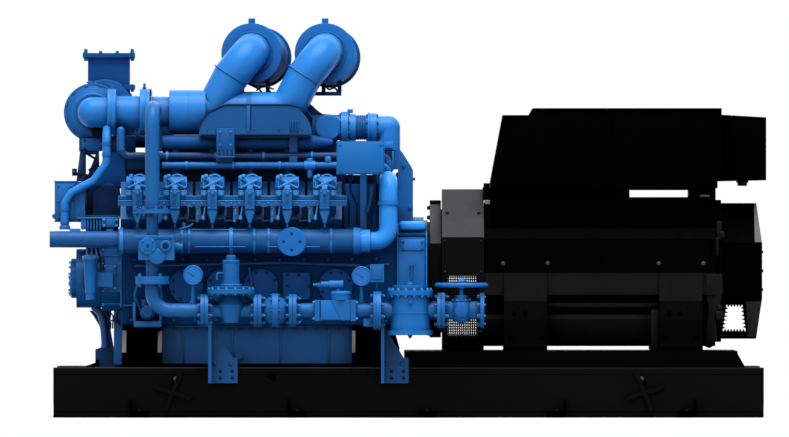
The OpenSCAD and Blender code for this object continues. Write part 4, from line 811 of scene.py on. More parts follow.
# %% [markdown]
# ### Valves between the flanges
# The double-cone valve has a bolted waist. The solenoid valve has a coil with a cable gland, and
# its drive lies across the top in a small housing.

# %% Valve details
bolts(ring_pair(((check_low.x + check_high.x) / 2, train_y, train_z), 0.018, 0.094, 8, TO_X), 0.014,
      "cone_valve_bolts", pipe_blue)

block_x0, block_x1 = filter_low.x - 0.156 - 0.254 + flange, filter_low.x - 0.156 + flange
body_mid = (block_x0 + block_x1) / 2
bolts([at(x, train_y + dy, train_z + dz, turn)
       for x, turn in ((block_x0, TO_FRONT), (block_x1, TO_X)) for dy in (-0.05, 0.05)
       for dz in (-0.05, 0.05)], 0.016, "solenoid_bolts", highlight_blue)
face = plate([(-0.09, -0.058), (0.03, -0.058), (-0.03, 0.062), (-0.09, 0.062)], 0.008,
             near(body_mid, train_y - 0.055, train_z))
lid = turned([(0.1, 0.068), (0.111, 0.068), (0.119, 0.058), (0.122, 0.03)], 32,
             at(body_mid + 0.034, train_y, train_z))
plug = slab((body_mid - 0.112, train_y - 0.018, train_z + 0.146),
            (body_mid - 0.088, train_y + 0.018, train_z + 0.17), 0.005)
gland = turned([(0, 0.011), (0.012, 0.011), (0.014, 0.008), (0.026, 0.008)], 12,
               at(body_mid - 0.112, train_y, train_z + 0.158, TO_FRONT))
cap_ring = turned([(-0.004, 0.03), (0.006, 0.03), (0.01, 0.024)], 20,
                  along(body_mid + 0.04, train_y, train_z + 0.158))
stem = tube([(body_mid + 0.02, train_y, train_z + 0.12), (body_mid + 0.02, train_y, train_z + 0.16)],
            0.02, 0.01)
fit([soften(face, 0.003), lid, plug, gland, cap_ring, stem], "solenoid_details", cover_blue)

# %% [markdown]
# ### Gas filter
# The filter's lid is held by a ring of bolts, its body has a welded seam, and a drain plug and a
# pressure tapping stick out of it.

# %% Filter details
pot_x = (filter_low.x + flange + filter_high.x - flange) / 2 + 0.006
lid_bolts = ring((pot_x, train_y, train_z + 0.126), 0.129, 16, UP, 11.25)
lid_bolts += ring((pot_x, train_y, train_z + 0.094), 0.133, 16, UPSIDE_DOWN, 11.25)
bolts(lid_bolts, 0.015, "filter_lid_bolts", highlight_blue)
seam = turned([(-0.022, 0.1245), (-0.019, 0.1275), (-0.014, 0.1275), (-0.011, 0.1245)], 48,
              at(pot_x, train_y, train_z))
lid_knob = turned([(0.155, 0.03), (0.164, 0.03), (0.166, 0.02), (0.176, 0.018), (0.178, 0.012)], 16,
                  at(pot_x, train_y, train_z))
drain = turned([(0, 0.016), (0.012, 0.016), (0.012, 0.01), (0.022, 0.01)], 6,
               at(pot_x, train_y, train_z - 0.15, UPSIDE_DOWN))
tapping = turned([(0.118, 0.016), (0.136, 0.016), (0.136, 0.01), (0.15, 0.01)], 6,
                 near(pot_x, train_y, train_z + 0.05))
fit([seam, lid_knob, drain, tapping], "filter_details", cover_blue)

# %% [markdown]
# ### Handwheel
# The wheel's rim and spokes are in CAD, because the wheel turns. The nut that holds it on its
# spindle turns with it, so the nut rides on the wheel's own body.

# %% Handwheel nut and valve bonnet
wheel_low, wheel_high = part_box("valve_handwheel")
wheel_x = (wheel_low.x + wheel_high.x) / 2
wheel_top = train_z + 0.157 + 0.02
hub = turned([(0, 0.026), (0.006, 0.03), (0.01, 0.03), (0.012, 0.024)], 24,
             at(wheel_x, train_y, wheel_top - 0.002))
nut = turned([(0.01, 0.019), (0.021, 0.019), (0.024, 0.015)], 6,
             at(wheel_x, train_y, wheel_top - 0.002))
fit([hub, nut], "handwheel_nut", highlight_blue, "blue_pipe", "handwheel")

bonnet = turned([(0.052, 0.06), (0.062, 0.062), (0.062, 0.048), (0.076, 0.044)], 28,
                at(wheel_x, train_y, train_z))
near_boss = turned([(0.06, 0.045), (0.084, 0.042), (0.09, 0.03)], 24, near(wheel_x, train_y, train_z))
fit([bonnet, near_boss], "shutoff_valve_details", cast_blue)
bolts(ring((wheel_x, train_y, train_z + 0.062), 0.053, 6, UP), 0.011, "shutoff_valve_bolts",
      highlight_blue)

# %% [markdown]
# ### Gauges
# A dial gauge is a pressed case with a raised rim, a paler dial and a pointer. The dial keeps a
# plain ring of marks, which is all that can be read from a few metres away.

# %% Gauges
gauge_low, gauge_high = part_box("gas_gauges")
gauge_r = 0.061
second_x = gauge_high.x - 0.086 - 0.053
gauge_centres = [(gauge_low.x + gauge_r, train_z + 0.219), (second_x, train_z + 0.212)]
rims, dials, marks = [], [], []
for x, z in gauge_centres:
    front = near(x, train_y - 0.03, z)
    rims.append(turned([(-0.012, 0.0615), (0.004, 0.0615), (0.008, 0.057), (0.004, 0.051)], 36,
                       front))
    dials.append(turned([(0.001, 0.0505), (0.0055, 0.0505)], 36, front))
    marks.append(turned([(0.005, 0.006), (0.0095, 0.006), (0.0105, 0.004)], 12, front))
    for i in range(9):
        sweep = leaning(-135 + 33.75 * i, "Z")
        mark = slab((-0.0012, 0.036, 0.005), (0.0012, 0.046, 0.0065))
        marks.append(placed(mark, front @ sweep))
    pointer = plate([(-0.003, -0.012), (0.003, -0.012), (0.0008, 0.04), (-0.0008, 0.04)], 0.0015,
                    front @ leaning(60, "Z") @ moved(0, 0, 0.0072))
    marks.append(pointer)
fit(rims, "gauge_rims", cover_blue)
fit(dials, "gauge_dials", dial_face)
fit(marks, "gauge_marks", cast_blue)

switch_x0 = gauge_high.x - 0.086
switch = slab((switch_x0 + 0.012, train_y - 0.038, train_z + 0.19),
              (gauge_high.x - 0.012, train_y - 0.03, train_z + 0.27), 0.004)
switch_gland = turned([(0, 0.012), (0.02, 0.012), (0.022, 0.008), (0.04, 0.008)], 12,
                      at(switch_x0 + 0.043, train_y, train_z + 0.175, UPSIDE_DOWN))
tap_foot = turned([(0, 0.022), (0.02, 0.022), (0.02, 0.015), (0.05, 0.015)], 6,
                  at(second_x, train_y, train_z + 0.04))
tap_foot_2 = copies(tap_foot, [moved(gauge_centres[0][0] - second_x, 0, 0)])
under_box = slab((second_x + 0.01, train_y - 0.03, train_z - 0.1),
                 (second_x + 0.1, train_y + 0.03, train_z - 0.05), 0.006)
fit([switch, switch_gland, tap_foot, tap_foot_2], "gauge_fittings", cast_blue)
fit(under_box, "train_sensor_box", cast_blue)

# %% [markdown]
# ### Brackets of the train
# Two brackets on the base carry the train. Each foot is held by two bolts, and below them it has
# four open holes, drawn as dark discs of painted shade.

# %% Bracket bolts
rail_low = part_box("base_rails")[0]
foot_face = rail_low.y - 0.02
# Painted shade: each open hole is a dark disc.
hole_shade = turned([(-0.004, 0.012), (0.0008, 0.012)], 16)
foot_holes = [near(x, foot_face, z) for x in (-1.166, -1.091, -0.106, -0.03) for z in (0.286, 0.2455)]
fit(hole_shade, "bracket_hole_shades", joint_and_shade_blue, places=foot_holes)
foot_bolts = [near(x, foot_face, 0.335) for x in (-1.2, -1.1, -0.14, -0.04)]
bolts(foot_bolts, 0.019, "bracket_bolts", half_shaded_blue)
print("pieces so far:", len(pieces))

# %% [markdown]
# ## Turbocharger and exhaust outlet
# The compressor housing is a casting with stepped rings, so it is one turned piece whose radius
# falls in steps towards the inlet. A V-clamp with one bolt holds its two halves together. The
# exhaust outlet is square, with bolts at its corners and along its edges.

# %% Compressor rings
turbo_low, turbo_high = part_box("turbocharger")
inlet_low, inlet_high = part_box("turbo_inlet_pipe")
turbo_x = turbo_low.x + 0.18
turbo_z = inlet_high.z - 0.14
inlet_y = (inlet_low.y + inlet_high.y) / 2
housing = turned([(-0.078, 0.167), (-0.074, 0.17), (-0.03, 0.17), (-0.026, 0.166), (-0.004, 0.166),
                  (0.0, 0.1825), (0.012, 0.1825), (0.016, 0.176), (0.021, 0.176), (0.025, 0.163),
                  (0.033, 0.161), (0.036, 0.152), (0.045, 0.15), (0.05, 0.141), (0.058, 0.136),
                  (0.062, 0.122), (0.07, 0.115)], 56, near(turbo_x, 0.0, turbo_z))
volute = turned([(-0.12, 0.13), (-0.1, 0.162), (-0.06, 0.174), (-0.02, 0.162), (-0.014, 0.13)], 48,
                near(turbo_x + 0.012, 0.0, turbo_z))
ears = [slab((turbo_x + dx - 0.011, -0.012, turbo_z + 0.172),
             (turbo_x + dx + 0.011, 0.012, turbo_z + 0.197), 0.004)
        for dx in (-0.017, 0.017)]
clamp_pin = turned([(-0.04, 0.006), (0.04, 0.006), (0.042, 0.004)], 10,
                   along(turbo_x, 0, turbo_z + 0.188))
fit([housing, volute, clamp_pin] + ears, "compressor_rings", cast_blue)
bolts(ring((turbo_x, -0.0255, turbo_z), 0.1695, 12, TO_NEAR, 15), 0.011, "compressor_bolts",
      cover_blue)

# %% Turbine housing
turbine_x, turbine_z = turbo_high.x - 0.18, turbo_high.z - 0.18
fit(turned([(-0.325, 0.06), (-0.322, 0.12), (-0.318, 0.182), (-0.29, 0.184), (-0.286, 0.172),
            (-0.12, 0.172), (-0.116, 0.183), (-0.098, 0.183), (-0.094, 0.168), (-0.08, 0.15),
            (-0.07, 0.1)], 48, near(turbine_x, 0, turbine_z)), "turbine_rings", cast_blue)
bolts(ring((turbine_x, 0.325, turbine_z), 0.16, 16, TO_FAR), 0.014, "turbine_bolts", cover_blue)

# %% Exhaust flange bolts
stack_low, stack_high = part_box("exhaust_outlet")
inset = 0.017
corners = [(stack_low.x + inset, stack_low.y + inset), (stack_high.x - inset, stack_low.y + inset),
           (stack_low.x + inset, stack_high.y - inset), (stack_high.x - inset, stack_high.y - inset)]
middles = [(x, y) for x in evenly(stack_low.x + 0.11, stack_high.x - 0.11, 2)
           for y in (stack_low.y + inset, stack_high.y - inset)]
middles += [(x, y) for y in evenly(stack_low.y + 0.11, stack_high.y - 0.11, 2)
            for x in (stack_low.x + inset, stack_high.x - inset)]
low_flange = turbine_z + 0.12
stack_bolts = [at(x, y, stack_high.z - 0.001) for x, y in middles]
stack_bolts += [at(x, y, z, turn) for x, y in corners + middles
                for z, turn in ((low_flange + 0.0185, UP), (low_flange, UPSIDE_DOWN))]
bolts(stack_bolts, 0.017, "exhaust_flange_bolts", half_shaded_blue)
corner_studs = turned([(-0.045, 0.009), (0.022, 0.009), (0.026, 0.006)], 10)
nuts = [at(x, y, stack_high.z - 0.03, UPSIDE_DOWN) for x, y in corners]
fit(corner_studs, "exhaust_studs", half_shaded_blue, places=[at(x, y, stack_high.z) for x, y in corners])
bolts(nuts + [at(x, y, stack_high.z) for x, y in corners], 0.021, "exhaust_stud_nuts", half_shaded_blue)
weld_inset = 0.035
weld_ends = (stack_low.x + weld_inset, stack_high.x - weld_inset)
welds_and_shadow_lines = [tube([(x, stack_low.y + weld_inset, z) for x in weld_ends], 0.0035, 0.01, 2)
         for z in (stack_high.z - 0.027, low_flange + 0.02)]
far_side = moved(0, stack_high.y - stack_low.y - 2 * weld_inset, 0)
fit(welds_and_shadow_lines + [copies(weld, [far_side]) for weld in welds_and_shadow_lines], "exhaust_weld_beads", shaded_door_blue)

# %% [markdown]
# ## Intake pipework
# The pipe to the compressor is joined by two clamped collars, and the collars carry lugs with a
# bolt through them. The ducts to the filters are seamed where they bend, with a band and a small
# clamp lug. A strap holds the plenum's casing.

# %% Collars and bands
collar_rings = []
for x, width in ((-1.872, 0.052), (-1.671, 0.062)):
    collar_rings.append(turned([(0, 0.138), (0, 0.1445), (0.003, 0.1475), (width * 0.46, 0.1475),
                                (width * 0.5, 0.1462), (width * 0.54, 0.1475),
                                (width - 0.003, 0.1475), (width, 0.1445), (width, 0.138)], 56,
                               along(x, inlet_y, turbo_z)))
for x in (-1.6, -1.487, -1.372):
    collar_rings.append(band(along(x, inlet_y, turbo_z), 0.1395, 0.1408, 0, 0.006, 56))
lugs = []
for x, z in ((-1.643, turbo_z + 0.147), (-1.607, turbo_z + 0.112), (-1.845, turbo_z + 0.142)):
    lugs.append(slab((x - 0.012, inlet_y - 0.02, z - 0.01), (x + 0.012, inlet_y + 0.02, z + 0.012),
                     0.004))
    lugs.append(turned([(0, 0.008), (0.03, 0.008), (0.034, 0.005)], 8, at(x, inlet_y, z)))
fit(collar_rings, "inlet_collars", lit_pipe_blue)
fit(lugs, "inlet_collar_lugs", half_shaded_blue)

duct_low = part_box("intake_ducts")[0]
joint_xs, joint_z, bisector = (-1.1039, -0.6459), 2.1216, 33.25
seams, seam_lugs = [], []
for x in joint_xs:
    across = at(x, inlet_y, joint_z, leaning(bisector, "Y"))
    seams.append(turned([(-0.0042, 0.1155), (-0.0036, 0.1168), (-0.0012, 0.1168), (-0.0008, 0.1155)],
                        64, across))
    seam_lugs.append(placed(slab((-0.123, -0.01, -0.004), (-0.108, 0.01, 0.004), 0.002), across))
fit(seams, "duct_seams", joint_and_shade_blue)
fit(seam_lugs, "duct_clamp_lugs", lit_pipe_blue)

# %% [markdown]
# ### Shield of the plenum
# The pressed shield in front of the ducts has a rolled rim along its arched top. The rim is a
# thin tube along the same arch, and a strap crosses it.

# %% Shield rim and strap
shield_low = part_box("manifold_shields")[0]
shield_y = shield_low.y - 0.001
arch = [(-1.305, 1.795), (-1.285, 1.838), (-1.243, 1.893), (-1.14, 1.94), (-0.735, 1.94),
        (-0.64, 1.915), (-0.6, 1.86)]
rim = tube([(x, shield_y, z) for x, z in arch], 0.006, 0.05)
fit(rim, "shield_rim", joint_and_shade_blue)
strap_x = -0.993
strap = slab((strap_x - 0.012, shield_y - 0.004, 1.775), (strap_x + 0.012, shield_y + 0.003, 1.945),
             0.002)
strap_top = band(along(strap_x - 0.012, inlet_y, duct_low.z + 0.112), 0.114, 0.1165, 0, 0.024, 48)
strap_edge = slab((strap_x + 0.011, shield_y - 0.006, 1.78),
                  (strap_x + 0.015, shield_y + 0.002, 1.94), 0.001)
fit([strap, strap_top], "shield_strap", cast_blue)
fit(strap_edge, "shield_strap_edge", joint_and_shade_blue)
bolts(both_banks([near(x, shield_y, 1.783) for x in evenly(-1.25, -0.66, 5)]), 0.009, "shield_bolts",
      half_shaded_blue)

# %% [markdown]
# ### Bracket and pipes under the shield
# A pressed bracket with a row of teeth ties the shield to the pipes below. Those pipes run along
# the bank, and they carry clip rings, a tee and a small ball.

# %% Casing at the shield's end
fit(soften(plate([(-0.7, 1.683), (-0.487, 1.683), (-0.487, 1.882), (-0.536, 1.885), (-0.574, 1.913),
                  (-0.604, 1.944), (-0.7, 1.94)], 0.26, near(0, 0.16, 0)), 0.014, 3),
    "plenum_end_casing", shaded_navy)
fit([
    slab((-0.492, -0.106, 1.69), (-0.48, 0.14, 1.878), 0.003),
    slab((-0.7, -0.104, 1.79), (-0.49, -0.098, 1.798), 0.001)],
    "plenum_end_rim", half_shaded_blue)

# %% Bracket and clips
bracket_box = slab((-1.194, shield_y - 0.012, 1.655), (-1.08, shield_y + 0.02, 1.795), 0.006)
grid = [slab((x - 0.004, shield_y - 0.016, 1.618), (x + 0.004, shield_y + 0.02, 1.658), 0.002)
        for x in evenly(-1.187, -1.087, 5)]
shelf = slab((-1.194, shield_y - 0.02, 1.61), (-1.075, shield_y + 0.02, 1.622), 0.003)
teeth_back = slab((-1.192, shield_y - 0.006, 1.612), (-1.078, shield_y + 0.02, 1.662), 0.003)
fit([bracket_box, shelf, teeth_back] + grid, "shield_bracket", half_shaded_blue)
bolts([near(x, shield_y - 0.012, z) for x in (-1.17, -1.105) for z in (1.69, 1.77)], 0.012,
      "shield_bracket_bolts", lit_pipe_blue)
fit([slab((x - 0.004, shield_y - 0.008, 1.772), (x + 0.004, shield_y + 0.05, 1.842), 0.002)
     for x in evenly(-0.735, -0.685, 4)],
    "shield_fins", half_shaded_blue)
# Painted shade: a darker plate behind the fins stands for their recess.
fit(slab((-0.741, shield_y - 0.003, 1.77), (-0.679, shield_y + 0.05, 1.844), 0.004),
    "shield_fin_recess_shade", shaded_door_blue)

tee_x = -0.613
tee = turned([(-0.035, 0.03), (0.035, 0.03)], 20, along(tee_x, -0.4, 1.563))
tee_cap = turned([(0, 0.021), (0.03, 0.021), (0.034, 0.014)], 20, at(tee_x, -0.4, 1.575))
tee_stem = turned([(0, 0.018), (0.06, 0.018), (0.075, 0.012)], 16, at(tee_x, -0.4, 1.56, UPSIDE_DOWN))
small_ball = turned([(-0.02, 0.01), (-0.014, 0.018), (0, 0.022), (0.014, 0.018), (0.02, 0.01)], 16,
                    at(-0.5, -0.4, 1.6))
upper_rings = [turned([(-0.008, 0.03), (0.008, 0.03)], 24, along(x, -0.345, 1.621))
               for x in evenly(-1.5, -0.6, 4)]
lower_rings = [turned([(-0.008, 0.027), (0.008, 0.027)], 24, along(x, -0.4, 1.563))
               for x in evenly(-1.38, -0.8, 3)]
fit_pair([tee, tee_cap, tee_stem, small_ball] + upper_rings + lower_rings, "side_pipe_fittings",
         lit_pipe_blue)

# %% [markdown]
# ## Air filters
# Each filter has a rolled rim at both ends of its can. The plate at the far end is stepped, with
# a wing nut in its middle.

# %% Filter rims and wing nuts
can_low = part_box("air_filters")[0]
filter_z = 2.262
for number, (x, yaw) in enumerate(((-0.978, 6), (-0.52, 3.2)), 1):
    turn = leaning(-yaw, "Z") @ leaning(-2.2, "X") @ TO_FAR
    can = at(x, can_low.y + 0.012, filter_z, turn)
    print("filter", number, "stands at", round(x, 3))
    near_rim = [(0.0, 0.176), (0.0, 0.1875), (0.004, 0.19), (0.009, 0.1875), (0.009, 0.176)]
    seat = [(-0.004, 0.122), (-0.006, 0.134), (0.002, 0.136)]
    far_rim = [(0.55, 0.176), (0.55, 0.1875), (0.555, 0.19), (0.56, 0.1875), (0.56, 0.176)]
    end_plate = [(0.55, 0.14), (0.568, 0.14), (0.576, 0.128), (0.578, 0.05), (0.586, 0.04),
                 (0.588, 0.014), (0.604, 0.013), (0.606, 0.009)]
    wing_nut = slab((-0.035, -0.006, 0.59), (0.035, 0.006, 0.6), 0.003)
    fit([turned(near_rim, 64, can), turned(seat, 48, can), turned(far_rim, 64, can),
         turned(end_plate, 48, can), placed(wing_nut, can)], f"filter_rim_{number}", cover_blue)

# %% [markdown]
# ## Charge pipe
# A bellows lets the engine's two cooled sections move. Its waves are a turned profile, and a
# clamp ring closes each end.

# %% Bellows and clamps
charge_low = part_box("charge_pipe")[0]
charge_z = 1.8
waves = []
for x in evenly(-0.328, -0.272, 5):
    waves.append(turned([(-0.006, 0.072), (-0.004, 0.078), (0.004, 0.078), (0.006, 0.072)], 40,
                        along(x, inlet_y, charge_z)))
fit(waves, "charge_bellows", shaded_door_blue)
rings = [band(along(x, inlet_y, charge_z), 0.07, 0.0835, 0, 0.022) for x in (-0.372, -0.35)]
rings.append(band(along(-0.254, inlet_y, charge_z), 0.07, 0.0945, 0, 0.012))
rings.append(slab((-0.38, inlet_y - 0.015, charge_z + 0.09),
                  (-0.345, inlet_y + 0.015, charge_z + 0.115), 0.004))
lid = turned([(0, 0.079), (0.006, 0.079), (0.01, 0.074)], 48,
             near(-0.5, charge_low.y + 0.016, charge_z))
fit(rings, "charge_clamps", lit_pipe_blue)
fit(lid, "charge_end_cap", cover_blue)
collar_bolts = ring_pair((-0.3975, inlet_y, charge_z), 0.0225, 0.09, 8, TO_FRONT, 22.5)
collar_bolts += ring_pair((-0.226, inlet_y, charge_z), 0.028, 0.082, 8, TO_FRONT, 22.5)
bolts(collar_bolts, 0.012, "charge_bolts", half_shaded_blue)

# %% [markdown]
# Under the charge pipe the casings of both banks close the view between them. They are plain
# sheet in the dark navy of painted shadow, with a cooler's end plate and a cable conduit in front.

# %% Casings under the charge pipe
# Painted shadow: dark navy sheets close the gap between the banks under the charge pipe.
fit([
    slab((-0.402, -0.2, 1.445), (-0.188, 0.2, 1.506), 0.01),
    slab((-0.192, -0.2, 1.41), (-0.15, 0.2, 1.508), 0.008),
    slab((-0.079, -0.2, 1.36), (-0.055, 0.2, 1.52), 0.008),
    slab((-0.402, -0.25, 1.13), (-0.15, 0.25, 1.45), 0.01)],
    "rear_shadow_casing", shadow_navy)
fit(slab((-0.152, -0.26, 1.53), (-0.102, -0.2, 1.652), 0.005), "rear_plate", joint_and_shade_blue)
fit(slab((-0.103, -0.262, 1.53), (-0.092, -0.19, 1.652), 0.002), "rear_plate_edge", lit_pipe_blue)
tab = slab((-0.158, -0.27, 1.668), (-0.096, -0.2, 1.712), 0.008)
small_plug = turned([(0, 0.017), (0.012, 0.017), (0.014, 0.012), (0.028, 0.01)], 14,
                    at(-0.272, -0.35, 1.488))
fit([tab, small_plug], "rear_fittings", lit_pipe_blue)
fit(tube([(-0.225, -0.47, 1.43), (-0.225, -0.48, 1.38), (-0.235, -0.48, 1.32), (-0.255, -0.48, 1.27)],
         0.02, 0.04, 4), "rear_conduit", shaded_blue)

# %% [markdown]
# ### Small parts in the gaps
# Beside the turbocharger and under the filters, plain casings, a dark plate and a few clips close
# gaps that one would otherwise look through. Casings and clips are painted in darker blues of painted
# shade, and the plate is painted shadow. A small bolted flange sits below the compressor.

# %% Casings beside the turbocharger
fit([
    slab((-1.87, 0.0, 1.63), (-1.7, 0.1, 1.752), 0.008),
    slab((-1.55, -0.24, 1.735), (-1.462, -0.1, 1.812), 0.008)],
    "turbo_side_casing", shaded_door_blue)
# Painted shadow: a dark plate under the compressor's inlet elbow.
fit(soften(plate([(-1.99, 1.8), (-1.955, 1.812), (-1.82, 1.8), (-1.812, 1.748), (-1.96, 1.742)], 0.05,
                 near(0, -0.1, 0)), 0.01), "turbo_shadow_plate", shadow_navy)

# %% Clips under the filters
fit([
    tube([(-0.97, -0.02, 2.06), (-0.93, -0.03, 2.04), (-0.9, -0.02, 2.0), (-0.86, -0.01, 2.03)],
         0.006, 0.02),
    tube([(-0.95, -0.05, 2.03), (-0.9, -0.05, 2.06), (-0.84, -0.03, 2.04)], 0.005, 0.02),
    tube([(-0.53, -0.03, 2.07), (-0.49, -0.04, 2.03), (-0.46, -0.03, 2.06), (-0.44, -0.02, 2.02)],
         0.006, 0.02),
    slab((-0.575, -0.04, 2.0), (-0.425, 0.06, 2.02), 0.004)],
    "filter_clips", joint_and_shade_blue)

# %% Volute flange
flange_parts = [slab((-1.73, -0.15, 1.79), (-1.655, -0.06, 1.808), 0.003)]
flange_parts += [slab((x - 0.005, -0.16, 1.775), (x + 0.005, -0.08, 1.812), 0.002)
                 for x in (-1.72, -1.69, -1.66)]
fit(flange_parts, "volute_flange", cover_blue)
bolts([at(x, -0.11, z, turn) for z, turn in ((1.808, UP), (1.79, UPSIDE_DOWN))
       for x in (-1.715, -1.69, -1.665)], 0.014, "volute_bolts", highlight_blue)
print("top: pieces so far", len(pieces))

# %% [markdown]
# ## Cylinder heads
# Each cylinder carries the same set of parts: an ignition coil in a long housing, two round caps
# behind it, two stays that cross over the caps, and the oil line's banjo rod. One set is
# modelled at the first cylinder and copied along both banks, because all twelve are the same.

# %% Where the cylinders are
cylinder_xs = evenly(-1.68, -0.52, 6)
rail_y = -0.6198
rail_z = 1.3113
pod_y = rail_y - 0.056


def fit_rows(things, name, finish, xs=cylinder_xs):
    """A piece with a copy at each X along both banks. It is drawn with its cylinder at X = 0."""
    fit(things, name, finish, places=both_banks([moved(x, 0, 0) for x in xs]))


# %% Ignition coils
body = slab((-0.031, pod_y - 0.006, rail_z - 0.022), (0.031, pod_y + 0.004, rail_z + 0.098), 0.005)
top_cap = slab((-0.026, pod_y - 0.002, rail_z + 0.096), (0.026, pod_y + 0.022, rail_z + 0.108), 0.004)
nose = plate([(-0.027, 0), (0.027, 0), (0.009, -0.076), (-0.009, -0.076)], 0.008,
             near(0, pod_y + 0.002, rail_z - 0.028))
stalk = turned([(0, 0.007), (0.03, 0.006), (0.034, 0.0035)], 10,
               at(0, pod_y + 0.01, rail_z - 0.1, UPSIDE_DOWN))
plug = turned([(0, 0.012), (0.012, 0.012), (0.016, 0.008)], 12,
              near(0, pod_y - 0.006, rail_z + 0.075))
fit_rows([body, top_cap, nose, stalk, plug], "ignition_coils", pipe_blue)
split = slab((-0.032, pod_y - 0.0065, rail_z - 0.0275), (0.032, pod_y + 0.004, rail_z - 0.0225))
# Painted shade: a darker panel stands for a recess in the coil housing.
recess_shade = slab((-0.012, pod_y - 0.0072, rail_z + 0.01), (0.012, pod_y + 0.001, rail_z + 0.05), 0.002)
fit_rows(split, "coil_seams", joint_and_shade_blue)
fit_rows(recess_shade, "coil_panel_shades", half_shaded_blue)
bolts(both_banks([near(x + dx, pod_y - 0.006, z) for x in cylinder_xs
                  for dx, z in ((-0.021, rail_z + 0.088), (0.021, rail_z + 0.088),
                                (-0.021, rail_z - 0.012), (0.021, rail_z - 0.012))]), 0.007,
      "coil_bolts", highlight_blue)

# %% [markdown]
# ### Caps and stays over the valves
# Behind each coil two round caps stand on a flanged box. The stays that cross above them end in
# a ball at one side, and the lids of the boxes face the side; stays and lids are painted pale, as a
# painted highlight.

# %% Caps, stays and lids
cap_y = rail_y - 0.01
caps = []
for x in (-0.045, 0.045):
    caps.append(turned([(0, 0.0245), (0.004, 0.029), (0.014, 0.029), (0.018, 0.0245), (0.05, 0.0245),
                        (0.053, 0.021), (0.058, 0.019), (0.062, 0.011)], 20,
                       at(x, cap_y, rail_z + 0.1)))
    caps.append(slab((x - 0.03, cap_y - 0.028, rail_z + 0.112),
                     (x + 0.03, cap_y + 0.02, rail_z + 0.122), 0.003))
fit_rows(caps, "valve_caps", cover_blue)
stays = [
    tube([(-0.037, cap_y - 0.034, rail_z + 0.182), (-0.005, cap_y - 0.036, rail_z + 0.146),
          (0.066, cap_y - 0.034, rail_z + 0.112)], 0.0065, 0.03),
    tube([(0.067, cap_y - 0.04, rail_z + 0.172), (0.02, cap_y - 0.042, rail_z + 0.15),
          (-0.055, cap_y - 0.04, rail_z + 0.114)], 0.0065, 0.03)]
stays.append(turned([(-0.012, 0.006), (-0.008, 0.011), (0, 0.0135), (0.008, 0.011), (0.012, 0.006)],
                    14, at(-0.038, cap_y - 0.034, rail_z + 0.186)))
stays.append(tube([(-0.02, cap_y - 0.03, rail_z + 0.186), (0.02, cap_y - 0.03, rail_z + 0.197),
                   (0.05, cap_y - 0.03, rail_z + 0.183)], 0.005, 0.02))
fit_rows(stays, "valve_stays", highlight_blue)
# Painted highlight: the lids are a paler blue.
lids = [
    slab((0.034, rail_y - 0.045, rail_z + 0.064), (0.07, rail_y - 0.038, rail_z + 0.098), 0.003),
    slab((-0.07, rail_y - 0.045, rail_z + 0.064), (-0.034, rail_y - 0.038, rail_z + 0.098), 0.003)]
fit_rows(lids, "valve_box_lids", highlight_blue)
fit_rows(slab((-0.072, rail_y - 0.041, rail_z + 0.0985), (0.072, rail_y + 0.015, rail_z + 0.105),
              0.001), "valve_box_gaskets", joint_and_shade_blue)
bolts(both_banks([near(x + dx, rail_y - 0.045, rail_z + z) for x in cylinder_xs
                  for dx in (-0.063, -0.041, 0.041, 0.063) for z in (0.07, 0.092)]), 0.005,
      "valve_box_bolts", cover_blue)

# %% [markdown]
# ### Rods between the cylinders
# Between two cylinders a slim rod with a ball top stands up to the valve gear, and a pair of
# tapered rods leans down to the manifold. The recess behind them is a dark block of painted shade, with
# an edge.

# %% Rods and recesses
gaps = [(a + b) / 2 for a, b in zip(cylinder_xs, cylinder_xs[1:])]
ball_rod = tube([(0.057, rail_y - 0.03, rail_z + 0.06), (0.062, rail_y - 0.03, rail_z + 0.17)],
                0.0055, 0.02)
ball = turned([(-0.016, 0.008), (-0.011, 0.014), (0, 0.0175), (0.011, 0.014), (0.016, 0.008)], 16,
              at(0.062, rail_y - 0.03, rail_z + 0.175))
fit_rows([ball_rod, ball], "ball_rods", highlight_blue, gaps)
fit_rows([
    tube([(0.072, rail_y - 0.02, rail_z + 0.004), (0.06, rail_y - 0.028, rail_z - 0.07)], 0.0055,
         0.02),
    turned([(-0.012, 0.006), (-0.006, 0.011), (0.008, 0.0115), (0.018, 0.006)], 12,
           at(0.059, rail_y - 0.029, rail_z - 0.076)),
    tube([(0.03, rail_y - 0.01, rail_z + 0.0), (0.024, rail_y - 0.02, rail_z - 0.055)], 0.0045,
         0.02),
    slab((0.012, rail_y + 0.015, rail_z - 0.1), (0.03, rail_y + 0.03, rail_z - 0.01), 0.003)],
         "oil_rods", highlight_blue, gaps)
# Painted shade: dark blocks stand for the recesses between the heads.
hole_shade = slab((-0.03, -0.575, 1.235), (0.012, -0.545, 1.306), 0.004)
second_hole_shade = slab((0.075, -0.575, 1.225), (0.088, -0.545, 1.3), 0.003)
fit_rows([hole_shade, second_hole_shade], "head_recess_shades", joint_and_shade_blue, gaps)
fit_rows([
    slab((-0.044, -0.585, 1.21), (-0.034, -0.55, 1.306), 0.003),
    slab((-0.044, -0.585, 1.216), (0.02, -0.55, 1.226), 0.003)], "head_ribs", half_shaded_blue, gaps)

# %% Rail strips and bolts
rail_ends = (-1.8, -0.382)
